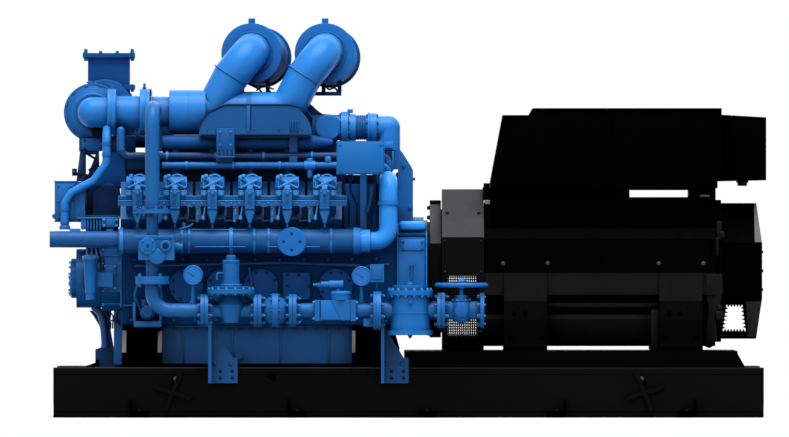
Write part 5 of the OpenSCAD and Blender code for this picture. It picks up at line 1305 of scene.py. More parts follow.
# Painted highlight: pale strips along the rail, with a line of painted shadow between them.
highlight_strips = [
    slab((rail_ends[0], rail_y - 0.029, rail_z + 0.058),
         (rail_ends[1], rail_y - 0.02, rail_z + 0.064), 0.002),
    slab((rail_ends[0], rail_y - 0.036, rail_z + 0.03),
         (rail_ends[1], rail_y - 0.028, rail_z + 0.0365), 0.002)]
fit_pair(highlight_strips, "rail_highlight_strips", highlight_blue)
fit_pair(slab((rail_ends[0] + 0.004, rail_y - 0.0335, rail_z + 0.037),
              (rail_ends[1] - 0.004, rail_y - 0.02, rail_z + 0.041)), "rail_shadow_gap", joint_and_shade_blue)
bolts(both_banks([near(x + dx, rail_y - 0.032, rail_z + 0.018) for x in gaps
                  for dx in (-0.06, 0.0, 0.05)]), 0.009, "rail_bolts", highlight_blue)

# %% [markdown]
# ### Coolant manifold
# Hose clamps join the lengths of the manifold, a round bolted flange closes a branch, and a thin
# line is clipped along it.

# %% Manifold fittings
manifold_y, manifold_z = -0.5841, 1.0947
clamps = []
for x in (-1.405, -1.36, -0.957, -0.868, -0.48):
    clamps.append(band(along(x, manifold_y, manifold_z), 0.07, 0.0795, -0.008, 0.008))
    clamps.append(slab((x - 0.009, manifold_y - 0.088, manifold_z + 0.012),
                       (x + 0.009, manifold_y - 0.07, manifold_z + 0.045), 0.003))
for x in (-1.78, -1.1, -0.33):
    clamps.append(band(along(x, manifold_y, manifold_z), 0.07, 0.084, -0.012, 0.012))
vent = [
    turned([(0, 0.02), (0.012, 0.02), (0.016, 0.012), (0.04, 0.012), (0.044, 0.007)], 14,
           at(-1.392, manifold_y - 0.012, manifold_z + 0.07)),
    tube([(-1.42, manifold_y - 0.03, manifold_z + 0.075),
          (-1.36, manifold_y - 0.03, manifold_z + 0.09),
          (-1.335, manifold_y - 0.03, manifold_z + 0.11)], 0.006, 0.02)]
fit_pair(clamps + vent, "manifold_clamps", lit_pipe_blue)
cover_x, cover_z = -0.723, 1.09
cover = turned([(-0.06, 0.05), (0.0, 0.05), (0.0, 0.09), (0.015, 0.09), (0.018, 0.087)], 48,
               near(cover_x, manifold_y - 0.066, cover_z))
line = tube([(-1.326, manifold_y - 0.074, 1.059), (-1.007, manifold_y - 0.074, 1.059)], 0.005, 0.02)
line_2 = tube([(-0.871, manifold_y - 0.074, 1.059), (-0.549, manifold_y - 0.074, 1.059)], 0.005, 0.02)
top_line = tube([(-1.35, manifold_y - 0.04, 1.164), (-1.0, manifold_y - 0.04, 1.164)], 0.005, 0.02)
fit_pair([cover, line, line_2, top_line], "manifold_cover", cover_blue)
sockets = ring((cover_x, manifold_y - 0.0835, cover_z), 0.05, 4, TO_NEAR)
socket = turned([(0, 0.0085), (0.0015, 0.0085), (0.0015, 0.006)], 16)
fit_pair(scattered(socket, sockets), "manifold_cover_screws", joint_and_shade_blue)
elbow_rings = [band(along(-0.317, manifold_y, manifold_z), 0.06, 0.082, -0.018, 0.018)]
elbow_rings.append(band(at(-0.126, manifold_y, 1.33), 0.05, 0.066, -0.012, 0.012))
fit_pair(elbow_rings, "coolant_elbow_rings", lit_pipe_blue)
print("pieces so far:", len(pieces))

# %% [markdown]
# ## Front end
# The front of the engine carries the small things that make it look alive: a coolant hose, a
# brace for the turbocharger, cooling fins, the oil centrifuge's cap, covers with their bolts, and
# the clips and unions of the pipes. Each follows what it is bolted to.

# %% Hose and its clamps
hose_y = -0.392
fit(tube([(-1.876, -0.3, 1.79), (-1.876, hose_y, 1.74), (-1.876, hose_y, 1.575),
          (-1.955, hose_y, 1.468), (-2.1, hose_y, 1.392), (-2.135, hose_y, 1.33),
          (-2.135, hose_y, 1.185)], 0.0255, 0.07, 5), "coolant_hose", lit_pipe_blue)
hose_rings = [band(at(x, hose_y, z), 0.0255, 0.029, -0.01, 0.01, 24)
              for x, z in ((-1.876, 1.7), (-1.876, 1.63), (-2.135, 1.29), (-2.135, 1.21))]
hose_rings.append(turned([(0, 0.02), (0.0, 0.034), (0.02, 0.034), (0.026, 0.03)], 24,
                         at(-2.135, hose_y, 1.165)))
fit(hose_rings, "hose_clamps", cover_blue)

# %% Brace of the turbocharger
fit([
    tube([(-2.085, -0.06, 1.515), (-1.925, -0.06, 1.49)], 0.01, 0.01),
    tube([(-1.94, -0.07, 1.6), (-2.04, -0.07, 1.66)], 0.008, 0.01),
    tube([(-2.02, -0.075, 1.5), (-2.02, -0.075, 1.66)], 0.012, 0.01),
    tube([(-1.99, -0.07, 1.53), (-1.93, -0.07, 1.59)], 0.009, 0.01),
    slab((-2.095, -0.08, 1.5), (-2.065, -0.03, 1.545), 0.004),
    slab((-1.965, -0.09, 1.478), (-1.925, -0.03, 1.52), 0.004),
    slab((-2.035, -0.09, 1.44), (-2.005, -0.03, 1.5), 0.004)],
    "turbo_brace", joint_and_shade_blue)
fit(slab((-2.036, -0.052, 1.655), (-1.906, -0.04, 1.735), 0.004), "turbo_foot_plate", cover_blue)
brace_bolts = [near(x, -0.052, z) for x in (-2.02, -1.922) for z in (1.67, 1.72)]
brace_bolts += [near(-2.08, -0.08, 1.523), near(-1.945, -0.09, 1.499), near(-2.02, -0.09, 1.46)]
bolts(brace_bolts, 0.013, "turbo_brace_bolts", half_shaded_blue)

# %% Cabinet
cabinet_low, cabinet_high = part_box("front_cabinet")
door = slab((cabinet_low.x + 0.008, cabinet_low.y - 0.006, cabinet_low.z + 0.012),
            (-2.075, cabinet_low.y + 0.002, cabinet_high.z - 0.012), 0.004)
cabinet_lip = slab((cabinet_low.x - 0.004, cabinet_low.y - 0.004, cabinet_high.z - 0.004),
                   (-2.06, cabinet_high.y, cabinet_high.z + 0.005), 0.002)
bumps = [
    slab((-2.21, cabinet_low.y + 0.04, 1.232), (-2.194, cabinet_low.y + 0.09, 1.262), 0.005),
    turned([(0, 0.014), (0.016, 0.012), (0.02, 0.008)], 12,
           at(-2.196, cabinet_low.y + 0.14, 1.25, TO_FRONT))]
fit([door, cabinet_lip] + bumps, "cabinet_door", cast_blue)
bolts([near(x, cabinet_low.y - 0.006, z) for x in (-2.175, -2.095) for z in (1.24, 1.34, 1.435)],
      0.01, "cabinet_bolts", cover_blue)

# %% [markdown]
# ### Shelf with fins
# A shelf over the belt end carries a small finned cooler between two boxes. Its fins are thin
# plates, and the light falls between them.

# %% Shelf, fins and boxes
shelf_y = (-0.4, 0.2)
shelf_parts = [slab((-2.06, shelf_y[0] - 0.03, 1.233), (-1.775, shelf_y[1], 1.242), 0.003)]
shelf_parts.append(slab((-2.035, -0.42, 1.166), (-2.0, -0.33, 1.237), 0.005))
shelf_parts.append(slab((-1.905, -0.43, 1.178), (-1.795, -0.33, 1.238), 0.006))
shelf_parts += [slab((x, -0.42, 1.155), (x + 0.009, -0.3, 1.236), 0.002)
                for x in evenly(-1.995, -1.92, 5)]
shelf_parts.append(slab((-2.06, -0.44, 1.118), (-1.86, -0.3, 1.148), 0.006))
fit(shelf_parts, "finned_cooler", lit_pipe_blue)
fit(slab((-2.0, -0.33, 1.15), (-1.91, -0.26, 1.243), 0.003), "fin_shadow", joint_and_shade_blue)
top_bits = [turned([(0, 0.013), (0.02, 0.013), (0.024, 0.008)], 10, at(x, -0.41, 1.148))
            for x in (-2.092, -2.072, -2.05, -1.865, -1.845)]
top_bits += [turned([(0, 0.011), (0.015, 0.011), (0.017, 0.007)], 6, near(x, -0.43, z))
             for x in (-1.89, -1.812) for z in (1.19, 1.226)]
fit(top_bits, "cooler_unions", highlight_blue)

# %% Upright lines over the centrifuge
fit([tube([(x, -0.41, 1.12), (x, -0.41, 1.03), (x + lean, -0.43, 0.995)], radius, 0.03)
     for x, lean, radius in ((-1.995, 0.0, 0.009), (-1.965, -0.01, 0.007), (-1.94, 0.005, 0.008),
                             (-1.915, 0.01, 0.006))],
    "front_lines", half_shaded_blue)
fit(slab((-2.0, -0.36, 1.0), (-1.9, -0.3, 1.12), 0.004), "front_lines_shadow", joint_and_shade_blue)

# %% Centrifuge and gear cover
spin_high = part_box("oil_centrifuge")[1]
gear_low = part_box("gear_cover")[0]
spin_x = -1.973
cap = turned([(-0.012, 0.05), (-0.01, 0.0535), (0.002, 0.0535), (0.006, 0.05), (0.009, 0.03),
              (0.013, 0.028), (0.015, 0.02)], 36, at(spin_x, -0.483, spin_high.z))
fit(cap, "centrifuge_cap", highlight_blue)
panel = slab((-1.893, gear_low.y - 0.008, 0.79), (-1.813, gear_low.y + 0.002, 0.945), 0.006)
rib = [slab((-1.9, gear_low.y - 0.006, z), (-1.782, gear_low.y + 0.002, z + 0.007), 0.002)
       for z in (0.7, 1.0)]
rib.append(slab((-1.79, gear_low.y - 0.012, 0.68), (-1.778, gear_low.y + 0.002, 1.04), 0.003))
fit([panel] + rib, "gear_cover_panel", cover_blue)
gear_bolts = [near(x, gear_low.y, z) for x in (-1.897, -1.787) for z in evenly(0.7, 1.04, 5)]
gear_bolts += [near(x, gear_low.y - 0.008, z) for x in (-1.884, -1.822) for z in (0.8, 0.935)]
bolts(both_banks(gear_bolts), 0.012, "gear_cover_bolts", highlight_blue)
# Painted shade: dark slabs stand for the slots beside the centrifuge.
fit([
    slab((-2.018, -0.41, 0.79), (-2.0, -0.37, 0.92), 0.004),
    slab((-1.9, -0.41, 0.915), (-1.888, -0.385, 0.985), 0.003)],
    "centrifuge_slot_shades", joint_and_shade_blue)

# %% Pulley covers on the front face
pump_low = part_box("coolant_pump")[0]
front_discs = []
for y, z, radius in ((0.0, 0.86, 0.12), (-0.23, 0.83, 0.075), (0.23, 0.83, 0.075)):
    front_discs.append(turned([(-0.04, radius), (0.006, radius), (0.01, radius - 0.006),
                               (0.01, radius * 0.6), (0.004, radius * 0.55), (0.004, radius * 0.3),
                               (0.016, radius * 0.25)], 36, at(pump_low.x, y, z, TO_FRONT)))
fit(front_discs, "pump_pulley_covers", cover_blue)
bolts([place for y, z, radius in ((0.0, 0.86, 0.1), (-0.23, 0.83, 0.06), (0.23, 0.83, 0.06))
       for place in ring((pump_low.x - 0.0095, y, z), radius, 8, TO_FRONT)], 0.013, "pump_bolts",
      highlight_blue)

# %% Support leg with its hose
leg_hose = tube([(-1.96, -0.2, 0.69), (-1.915, -0.2, 0.645), (-1.895, -0.2, 0.58),
                 (-1.885, -0.2, 0.43)], 0.024, 0.05, 4)
leg_plate = slab((-1.833, -0.2, 0.296), (-1.772, -0.17, 0.545), 0.004)
fit([leg_hose, leg_plate], "support_hose", half_shaded_blue)
wires = [
    tube([(-1.9, -0.3, 0.655), (-1.86, -0.3, 0.62), (-1.85, -0.3, 0.58), (-1.86, -0.3, 0.5)], 0.005,
         0.02),
    tube([(-1.86, -0.3, 0.655), (-1.835, -0.3, 0.63), (-1.84, -0.3, 0.55)], 0.005, 0.02),
    tube([(-1.81, -0.3, 0.655), (-1.815, -0.3, 0.6), (-1.79, -0.3, 0.57)], 0.005, 0.02)]
wires.append(tube([(-1.85, -0.3, 0.6), (-1.79, -0.3, 0.595)], 0.004, 0.02))
fit(wires, "front_wires", joint_and_shade_blue)

# %% [markdown]
# ## Engine block
# Inspection doors run along the crankcase, each with a ring of bolts. The oil pan is held by a row
# of bolts under its flange. A U-shaped bracket beside the gas pipe carries a small pump.

# %% Doors and pan
pan_low, pan_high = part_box("oil_pan")
door_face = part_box("crankcase_doors")[0].y
door_z, square_door_x = 0.815, -0.682
door_bolts, door_rims = [], []
for x in (-1.378, -1.146, -0.914, -0.45):
    door_bolts += ring((x, door_face, door_z), 0.09, 8, TO_NEAR, 22.5)
    door_rims.append(turned([(-0.002, 0.078), (0.001, 0.076), (0.003, 0.068), (0.003, 0.02)], 36,
                            near(x, door_face, door_z)))
grid = (-0.07, 0, 0.07)
door_bolts += [near(square_door_x + dx, door_face, door_z + dz)
               for dx in grid for dz in grid if dx or dz]
door_rims.append(slab((-0.735, door_face - 0.003, 0.762), (-0.629, door_face + 0.004, 0.868), 0.003))
fit_pair(door_rims, "crankcase_door_panels", shaded_door_blue)
bolts(both_banks(door_bolts), 0.012, "crankcase_door_bolts", shaded_block_blue)
flange_strip = slab((pan_low.x - 0.01, pan_low.y - 0.012, pan_high.z - 0.016),
                    (pan_high.x + 0.01, pan_low.y + 0.01, pan_high.z - 0.001), 0.003)
seam_strip = slab((-1.77, -0.452, 0.688), (-0.08, -0.44, 0.7), 0.003)
fit_pair([flange_strip, seam_strip], "block_flanges", half_shaded_blue)
pan_bolts = [at(x, pan_low.y - 0.004, pan_high.z - 0.016, UPSIDE_DOWN)
             for x in evenly(pan_low.x + 0.02, pan_high.x - 0.02, 18)]
pan_bolts += [near(x, -0.452, 0.6) for x in evenly(-1.72, -0.14, 13)]
pan_bolts += [near(x, -0.452, 0.98) for x in evenly(-1.7, -0.2, 11)]
bolts(both_banks(pan_bolts), 0.015, "block_bolts", shaded_door_blue)
pan_face = [slab((x, pan_low.y - 0.008, 0.34), (x + 0.012, pan_low.y + 0.004, 0.54), 0.003)
            for x in evenly(pan_low.x + 0.14, pan_high.x - 0.15, 4)]
drain = turned([(0, 0.035), (0.006, 0.035), (0.006, 0.022), (0.02, 0.022)], 6,
               near(-1.05, pan_low.y, 0.38))
fit_pair(pan_face + [drain], "oil_pan_ribs", shaded_blue)

# %% U bracket with its pump
bracket_y = -0.54
fit_pair([
    slab((-1.705, bracket_y - 0.03, 0.56), (-1.532, bracket_y + 0.09, 0.597), 0.004),
    slab((-1.71, bracket_y - 0.03, 0.597), (-1.692, bracket_y + 0.09, 0.715), 0.004),
    slab((-1.545, bracket_y - 0.03, 0.597), (-1.53, bracket_y + 0.09, 0.66), 0.004)],
    "pump_bracket", cast_blue)
fit_pair([
    turned([(-0.04, 0.045), (0.05, 0.045), (0.056, 0.038), (0.07, 0.03)], 24,
           near(-1.62, bracket_y, 0.65)),
    turned([(0, 0.018), (0.035, 0.018), (0.04, 0.012)], 14, at(-1.64, bracket_y - 0.01, 0.69)),
    turned([(0, 0.014), (0.03, 0.014), (0.034, 0.009)], 14, at(-1.6, bracket_y - 0.01, 0.69)),
    tube([(-1.66, bracket_y, 0.66), (-1.7, bracket_y - 0.01, 0.75), (-1.68, bracket_y - 0.01, 0.83),
          (-1.7, -0.44, 0.9)], 0.01, 0.04),
    tube([(-1.58, bracket_y, 0.68), (-1.53, bracket_y - 0.01, 0.74), (-1.54, -0.44, 0.83)], 0.008,
         0.03)],
    "prelube_pump", shaded_blue)

# %% Lines and small fittings on the block's side
fit_pair([
    tube([(-1.7, -0.46, 0.94), (-1.2, -0.46, 0.95), (-0.75, -0.46, 0.96), (-0.3, -0.46, 0.94)], 0.009,
         0.05),
    tube([(-0.33, -0.46, 0.9), (-0.25, -0.47, 0.94), (-0.12, -0.46, 0.95)], 0.008, 0.03),
    tube([(-0.95, -0.455, 0.62), (-0.95, -0.46, 0.7), (-0.99, -0.46, 0.93)], 0.008, 0.03)],
    "block_lines", half_shaded_blue)

# %% Mount plates
mount_low, mount_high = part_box("engine_mounts")
base_top = mount_low.z
web_low, web_high = (-0.7245, 0.4), (-0.518, 0.538)
run, rise = web_high[0] - web_low[0], web_high[1] - web_low[1]
web_slope = leaning(-math.degrees(math.atan2(run, rise)), "X")
# Painted light: light grey strips on the sloped edges of the mount plates.
highlight_strips = [placed(slab((-width / 2, -0.004, 0.004), (width / 2, 0.001, math.hypot(run, rise) - 0.004),
                      0.002), at(x, *web_low, web_slope))
          for x, width in ((mount_low.x + 0.014, 0.026), (-1.541, 0.026), (-0.34, 0.02))]
fit_pair(highlight_strips, "mount_edge_highlights", mount_highlight_grey)
fit_pair([slab((x0, -0.6, base_top - 0.01), (x1, -0.46, base_top + 0.04), 0.004)
          for x0, x1 in ((mount_low.x + 0.01, -1.54), (-0.34, mount_high.x - 0.01))], "mount_pads",
         box_black, "mount_black")
bolts(both_banks([at(x, -0.69, base_top + 0.02) for x in (-1.7, -1.6, -0.3, -0.1)]), 0.024,
      "mount_bolts", box_black, "mount_black")
fit(plate([(-2.035, 0.292), (-1.93, 0.292), (-1.93, 0.355), (-1.945, 0.355), (-1.945, 0.338),
           (-2.035, 0.306)], 0.3, near(0, 0.15, 0)), "support_wedge", base_black)

# %% [markdown]
# ## Flywheel end
# The flywheel housing joins the engine to the alternator. It has a bolted flange, a lifting pad
# painted pale as painted light, and a side panel. The control box beside it has a screwed door and
# hanging cables.

# %% Flywheel housing
wheel_low, wheel_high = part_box("flywheel_housing")
shaft_z = (wheel_low.z + wheel_high.z) / 2
outline = [(-0.4, 0.6), (-0.45, 0.68), (-0.462, 0.78), (-0.462, 1.115), (-0.45, 1.135),
           (-0.43, 1.142), (-0.375, 1.2), (-0.25, 1.203), (-0.25, 0.6)]
fit_pair(soften(plate([(-z, y) for y, z in outline], 0.174, along(-0.066, 0, 0)), 0.012, 3),
         "housing_shell", cast_blue)
panel = slab((-0.048, -0.47, 1.035), (0.1, -0.458, 1.104), 0.008)
rims = [
    slab((0.106, -0.468, 0.66), (0.116, -0.3, 1.15), 0.003),
    slab((-0.071, -0.456, 0.66), (-0.062, -0.3, 1.2), 0.003)]
fit_pair([panel] + rims, "housing_ribs", lit_pipe_blue)
fit_pair(slab((-0.064, -0.466, 1.121), (0.104, -0.44, 1.139), 0.004), "housing_groove", shaded_navy)
# Painted light: the lifting pad on top is a much paler blue.
fit_pair(slab((-0.06, -0.445, 1.158), (0.108, -0.3, 1.218), 0.02, 3), "housing_lifting_pad",
         sunlit_blue)
wheel_bolts = [near(x, -0.47, z) for x in (-0.033, 0.085) for z in (1.05, 1.089)]
wheel_bolts += [near(x, -0.462, 0.72) for x in (-0.04, 0.02, 0.08)]
bolts(both_banks(wheel_bolts), 0.014, "housing_bolts", cover_blue)
fit_pair([
    tube([(0.02, -0.48, 0.93), (0.02, -0.492, 0.86), (-0.03, -0.49, 0.8), (-0.05, -0.47, 0.72)],
         0.006, 0.03),
    turned([(0, 0.013), (0.022, 0.013), (0.026, 0.009)], 12, near(0.02, -0.46, 0.94))],
    "speed_sensor", half_shaded_blue)

# %% Control box and rear cover
control_low, control_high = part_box("control_box")
rear_low, rear_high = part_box("rear_cover")
box_floor = control_high.z - 0.207
lid = slab((control_low.x + 0.007, control_low.y - 0.007, box_floor + 0.008),
           (control_high.x - 0.007, control_low.y + 0.002, control_high.z - 0.008), 0.005)
fit(lid, "control_box_door", cover_blue)
bolts([near(x, control_low.y - 0.007, z) for x in (control_low.x + 0.022, control_high.x - 0.022)
       for z in (box_floor + 0.024, control_high.z - 0.024)], 0.009, "control_box_screws", cover_blue)
glands = [turned([(0, 0.016), (0.02, 0.016), (0.024, 0.011), (0.035, 0.011)], 8,
                 at(x, -0.6, box_floor, UPSIDE_DOWN))
          for x in (-0.4, -0.36, -0.21)]
harness = [tube([(x, -0.6, 1.48), (x, -0.6, 1.4), (x + lean, -0.56, 1.32), (x + lean, -0.5, 1.2)],
                0.007, 0.05)
           for x, lean in ((-0.4, 0.03), (-0.36, 0.04), (-0.21, -0.02))]
fit(glands + harness, "control_box_cables", joint_and_shade_blue)
rear_bolts = [along(rear_high.x - 0.001, y, 1.48) for y in (-0.2, 0.0, 0.2)]
rear_bolts += [near(x, rear_low.y, z) for x, z in ((0.01, 1.3), (-0.13, 1.25), (-0.03, 1.56))]
bolts(rear_bolts, 0.018, "rear_cover_bolts", half_shaded_blue)
print("front end and block: pieces so far", len(pieces))

# %% [markdown]
# ## Alternator
# The alternator is a black welded frame with a coupling guard at the drive end and a louvred
# cowl at the other. Wire mesh closes the guard's windows, so that air passes but no hand does.
# The mesh is real wire, not a texture, because one looks through it.

# %% Wire mesh in the guard
barrel_low, barrel_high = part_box("drive_end_barrel")
window_x, window_z = (0.245, 0.431), (0.505, 0.877)
wire_y = barrel_low.y + 0.012
wire = turned([(0, 0.0028), (1, 0.0028)], 6)
mesh_width, mesh_height = window_x[1] - window_x[0], window_z[1] - window_z[0]
as_wide = Matrix.Diagonal((1, 1, mesh_width + 0.016, 1))
as_high = Matrix.Diagonal((1, 1, mesh_height + 0.02, 1))
wires_at = [at(x, wire_y, window_z[0] - 0.01) @ as_high
            for x in evenly(window_x[0] + 0.006, window_x[1] - 0.006, 14)]
wires_at += [along(window_x[0] - 0.008, wire_y + 0.003, z) @ as_wide
             for z in evenly(window_z[0] + 0.008, window_z[1] - 0.008, 23)]
fit(wire, "guard_mesh", mount_black, places=both_banks(wires_at))
fit(slab((0.235, -0.12, 0.617), (0.442, 0.12, 0.834), 0.02), "coupling_baffle", box_black)

# %% Guard bolts, top and corner clips
guard_bolts = ring((0.1335, 0, shaft_z), 0.4, 16, TO_FRONT, 11.25)
guard_bolts = [place for place in guard_bolts if place.translation.z > 0.5]
bolts(guard_bolts, 0.022, "adapter_bolts", mount_black)
apothem = barrel_high.y
slope_places = [at(x, -(0.2104 + apothem) / 2 - 0.001, (1.118 + 1.416) / 2 + 0.001, leaning(45, "X"))
                for x in (0.24, 0.436)]
bolts(both_banks(slope_places + [near(x, barrel_low.y, z) for x in (0.226, 0.45)
                                 for z in (0.53, 0.7, 0.9, 1.09)]), 0.014, "guard_bolts", facet_black)
fit(slab((0.462, -0.3, 1.35), (0.476, 0.3, 1.43), 0.003), "guard_top", facet_black)
fit_pair(slab((0.474, -0.42, 1.322), (0.506, -0.36, 1.348), 0.004), "frame_corner_clip", bolt_grey)

# %% [markdown]
# ### Frame and feet
# The frame is stiffened by a bar between its feet and by a bracket at its end, which with a post
# are painted grey as painted light. Grey bolts sit where the side panels meet, and black ones in the
# feet.

# %% Frame
foot_low, foot_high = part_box("alternator_feet")
frame_side = -0.48
panel_joints = (0.587, 0.865, 1.553, 1.829)
first_foot, second_foot = (foot_low.x, foot_low.x + 0.27), (foot_high.x - 0.27, foot_high.x)
gap_between = (first_foot[1], second_foot[0])
# Painted light: the bar and the post are a lighter grey.
fit_pair(slab((gap_between[0] - 0.004, -0.487, 0.679), (gap_between[1] + 0.004, -0.43, 0.7135), 0.013,
              3), "frame_bar", painted_light_grey)
fit_pair(slab((1.504, -0.57, 0.413), (1.5535, -0.44, 0.667), 0.005), "frame_post", painted_light_grey)
bolts(both_banks([near(x, frame_side, 0.955) for x in panel_joints]), 0.019, "frame_panel_bolts",
      stud_grey)
seams = [slab((x - 0.0025, frame_side - 0.003, 0.8965), (x + 0.0025, frame_side + 0.004, 0.94), 0.0)
         for x in panel_joints]
seams += [slab((x - 0.003, frame_side - 0.0045, 0.965), (x + 0.003, frame_side + 0.004, 1.108), 0.001)
          for x in (0.53, 1.2, 1.88)]
fit_pair(seams, "frame_seams", box_black)

# %% End bracket and lumps
# Painted light: the end bracket is a lighter grey.
fit_pair(soften(plate([(1.843, 0.888), (1.948, 0.888), (1.952, 0.78), (1.93, 0.69), (1.908, 0.6),
                       (1.912, 0.48), (1.885, 0.436), (1.86, 0.428), (1.838, 0.45), (1.845, 0.58),
                       (1.858, 0.69), (1.843, 0.73)], 0.035, near(0, -0.468, 0)), 0.01, 3),
         "frame_end_bracket", painted_light_grey)
fit_pair([
    slab((1.893, -0.47, 1.0), (1.925, -0.42, 1.12), 0.012, 3),
    slab((1.91, -0.465, 1.1), (1.945, -0.42, 1.22), 0.015, 3),
    turned([(0, 0.02), (0.03, 0.02), (0.036, 0.013)], 12, near(1.945, -0.44, 1.135)),
    turned([(0, 0.02), (0.03, 0.02), (0.036, 0.013)], 12, near(1.93, -0.47, 0.68)),
    slab((1.90, -0.52, 0.6), (1.955, -0.45, 0.66), 0.012, 3)], "frame_end_lumps", mount_black,
         "alternator_black")

# %% Feet
foot_bolts = []
for x0, x1 in (first_foot, second_foot):
    foot_bolts += [at(x, -0.63, 0.645, leaning(52, "X")) for x in (x0 + 0.062, x0 + 0.13)]
    foot_bolts += [at(x, -0.7, 0.5, leaning(70, "X")) for x in (x0 + 0.04, x1 - 0.04)]
bolts(both_banks(foot_bolts), 0.022, "foot_bolts", box_black)

# %% Louvres of the cowl
cowl_low, cowl_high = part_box("end_cowl")
cowl_face = cowl_low.y
tooth = plate([(-0.0075, -0.005), (0.0075, -0.005), (0, 0.014)], 0.014, at(0, 0, -0.007))


def tooth_at(x, z, turn):
    """A tooth on the window's edge, pointing into the window."""
    return near(x, cowl_face + 0.008, z) @ leaning(turn, "Z")


teeth = [tooth_at(x, 0.532, 0) for x in evenly(1.962, 2.096, 8)]
teeth += [tooth_at(x, 0.696, 180) for x in evenly(1.985, 2.079, 6)]
for z in evenly(0.556, 0.676, 6):
    share = (z - 0.53) / 0.168
    teeth += [tooth_at(1.952 + share * 0.025, z, -98), tooth_at(2.105 - share * 0.019, z, 96)]
fit_pair(scattered(tooth, teeth), "cowl_louvre_teeth", cowl_black)
# Painted light: grey plates on the cowl's corner slopes, paler on the upper one.
half = cowl_face * math.tan(math.radians(-22.5))
upper = plate([(2.15, 0.004), (2.193, 0.004), (2.165, 0.34), (2.15, 0.34)], 0.003,
              at(0, cowl_face, shaft_z + half, leaning(45, "X")))
lower = plate([(2.097, -0.02), (2.192, -0.02), (2.165, -0.33), (2.11, -0.33)], 0.003,
              at(0, cowl_face, shaft_z - half, leaning(135, "X")))
fit_pair(upper, "cowl_upper_corner", slope_grey)
fit_pair(lower, "cowl_lower_corner", under_grey)
fit([slab((cowl_high.x - 0.012, -0.2, z), (cowl_high.x - 0.001, 0.2, z + 0.008), 0.002)
     for z in evenly(0.78, 1.03, 9)],
    "cowl_end_slats", box_black)
cowl_bolts = [near(x, cowl_face, z) for x in (1.975, 2.13) for z in (0.76, 0.9, 1.05)]
end_bolts = ring((cowl_high.x - 0.0005, 0, shaft_z), 0.135, 6, TO_X, 30)
bolts(both_banks(cowl_bolts) + end_bolts, 0.016, "cowl_bolts", box_black)

# %% [markdown]
# ### Terminal box
# The terminal box is sheet steel with screwed lids. The lids stand a few millimetres proud, so
# their edges show as fine lines on the black. Cables leave through glands in the outlet box.

# %% Lids and screws
box_low, box_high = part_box("terminal_box")
outlet_low, outlet_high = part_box("cable_outlet_box")
box_face = box_low.y
lid_z = (box_low.z + 0.08, box_high.z - 0.05)
lid_spans = ((0.65, 1.255), (1.265, 1.87))
lids = [slab((x0, box_face - 0.006, lid_z[0]), (x1, box_face + 0.002, lid_z[1]), 0.003)
        for x0, x1 in lid_spans]
lids.append(slab((1.99, outlet_low.y - 0.005, outlet_low.z + 0.03),
                 (2.18, outlet_low.y + 0.002, outlet_high.z - 0.04), 0.003))
fit_pair(lids, "terminal_lids", box_black)
screws = [near(x, box_face - 0.006, z) for x0, x1 in lid_spans
          for x in evenly(x0 + 0.02, x1 - 0.02, 5) for z in (lid_z[0] + 0.02, lid_z[1] - 0.02)]
screws += [near(x, outlet_low.y - 0.005, z) for x in (2.005, 2.165)
           for z in (outlet_low.z + 0.045, outlet_high.z - 0.055)]
bolts(both_banks(screws), 0.011, "terminal_screws", box_black)
rim = slab((outlet_high.x - 0.006, outlet_low.y, outlet_low.z + 0.006),
           (outlet_high.x, outlet_high.y, outlet_high.z - 0.018), 0.0015)
fit(rim, "outlet_rim", cowl_black)
glands = []
for y in (-0.2, -0.1, 0.0, 0.1, 0.2):
    glands.append(turned([(0, 0.034), (0.012, 0.034), (0.014, 0.027), (0.028, 0.027), (0.032, 0.02),
                          (0.032, 0.013), (0.012, 0.013)], 16,
                         at(2.08, y, outlet_low.z + 0.003, UPSIDE_DOWN)))
fit(glands, "cable_glands", mount_black)
bolts([at(x, y, box_high.z - 0.0095) for x in evenly(0.82, 1.91, 6) for y in (-0.42, 0.42)], 0.0105,
      "terminal_top_screws", box_black)
fit_pair(band(at(1.838, -0.415, 1.374), 0.022, 0.033, -0.006, 0.006, 24), "pedestal_eye", stud_grey)
print("alternator: pieces so far", len(pieces))

# %% [markdown]
# ## Base frame
# The base is two welded beams with cross members. Its top edges carry a painted highlight and its
# flanges painted shadow lines, the lifting lugs have round ends, and bolts hold the cleats to the
# floor.

# %% Beam edges
base_low, base_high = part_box("base_rails")
edge_y = base_low.y
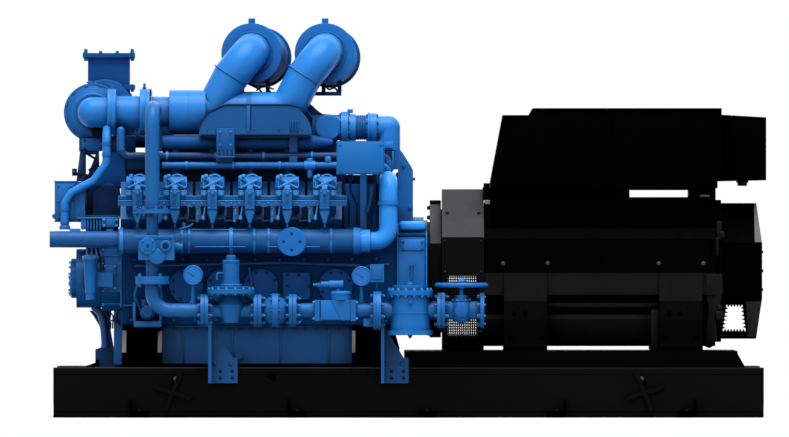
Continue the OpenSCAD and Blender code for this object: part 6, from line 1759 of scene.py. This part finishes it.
# Painted highlight along the top edge of each beam.
highlight_strips = [slab((base_low.x + 0.012, edge_y + 0.001, base_high.z - 0.004),
               (base_high.x - 0.012, edge_y + 0.03, base_high.z + 0.0015), 0.001)]
fit_pair(highlight_strips, "base_top_edge_highlight", edge_highlight_grey)
# Painted shadow: dark lines along the beam under its flanges.
welds_and_shadow_lines = [
    slab((base_low.x + 0.004, edge_y - 0.0015, 0.266), (base_high.x - 0.004, edge_y + 0.003, 0.269),
         0.0005),
    slab((base_low.x + 0.004, edge_y - 0.0015, 0.036), (base_high.x - 0.004, edge_y + 0.003, 0.039),
         0.0005)]
fit_pair(welds_and_shadow_lines, "base_flange_shadow_lines", box_black, "base_black")

# %% Lugs and cleats
knobs = [turned([(0, 0.012), (0.004, 0.015), (0.018, 0.015), (0.022, 0.01)], 16,
                near(side * 1.4415, edge_y, 0.242)) for side in (-1, 1)]
fit_pair(knobs, "lug_ends", stud_grey)
sockets = [turned([(0, 0.02), (0.003, 0.02), (0.004, 0.015)], 16, near(side * 1.452, edge_y, 0.222))
           for side in (-1, 1)]
fit_pair(sockets, "lug_sockets", box_black, "base_black")
cleat_low, cleat_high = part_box("hold_down_cleats")
cleat_x = [cleat_low.x + 0.06, -0.694, 0.115, 0.918, cleat_high.x - 0.06]
bolts(both_banks([at(x, -0.782, 0.036) for x in cleat_x]), 0.02, "cleat_bolts", mount_black)
pads = [slab((x0, edge_y - 0.004, 0), (x1, edge_y + 0.05, 0.012), 0.002)
        for x0, x1 in ((-1.52, -1.386), (1.404, 1.522))]
pads.append(plate([(-0.879, 0.255), (-0.868, 0.27), (-0.822, 0.27), (-0.822, 0.228), (-0.84, 0.226)],
                  0.004, near(0, edge_y + 0.002, 0)))
fit_pair(pads, "base_pads", box_black, "base_black")
bolts([at(x, y, base_high.z - 0.018) for x in evenly(-1.4, -0.5, 4) for y in (-0.5, 0.5)], 0.018,
      "deck_bolts", base_black)
print("base: pieces in all", len(pieces))

# %% [markdown]
# ## Finish
# The master bolt is removed, because only its copies belong to the set.

# %% Finish
bpy.data.objects.remove(bolt)
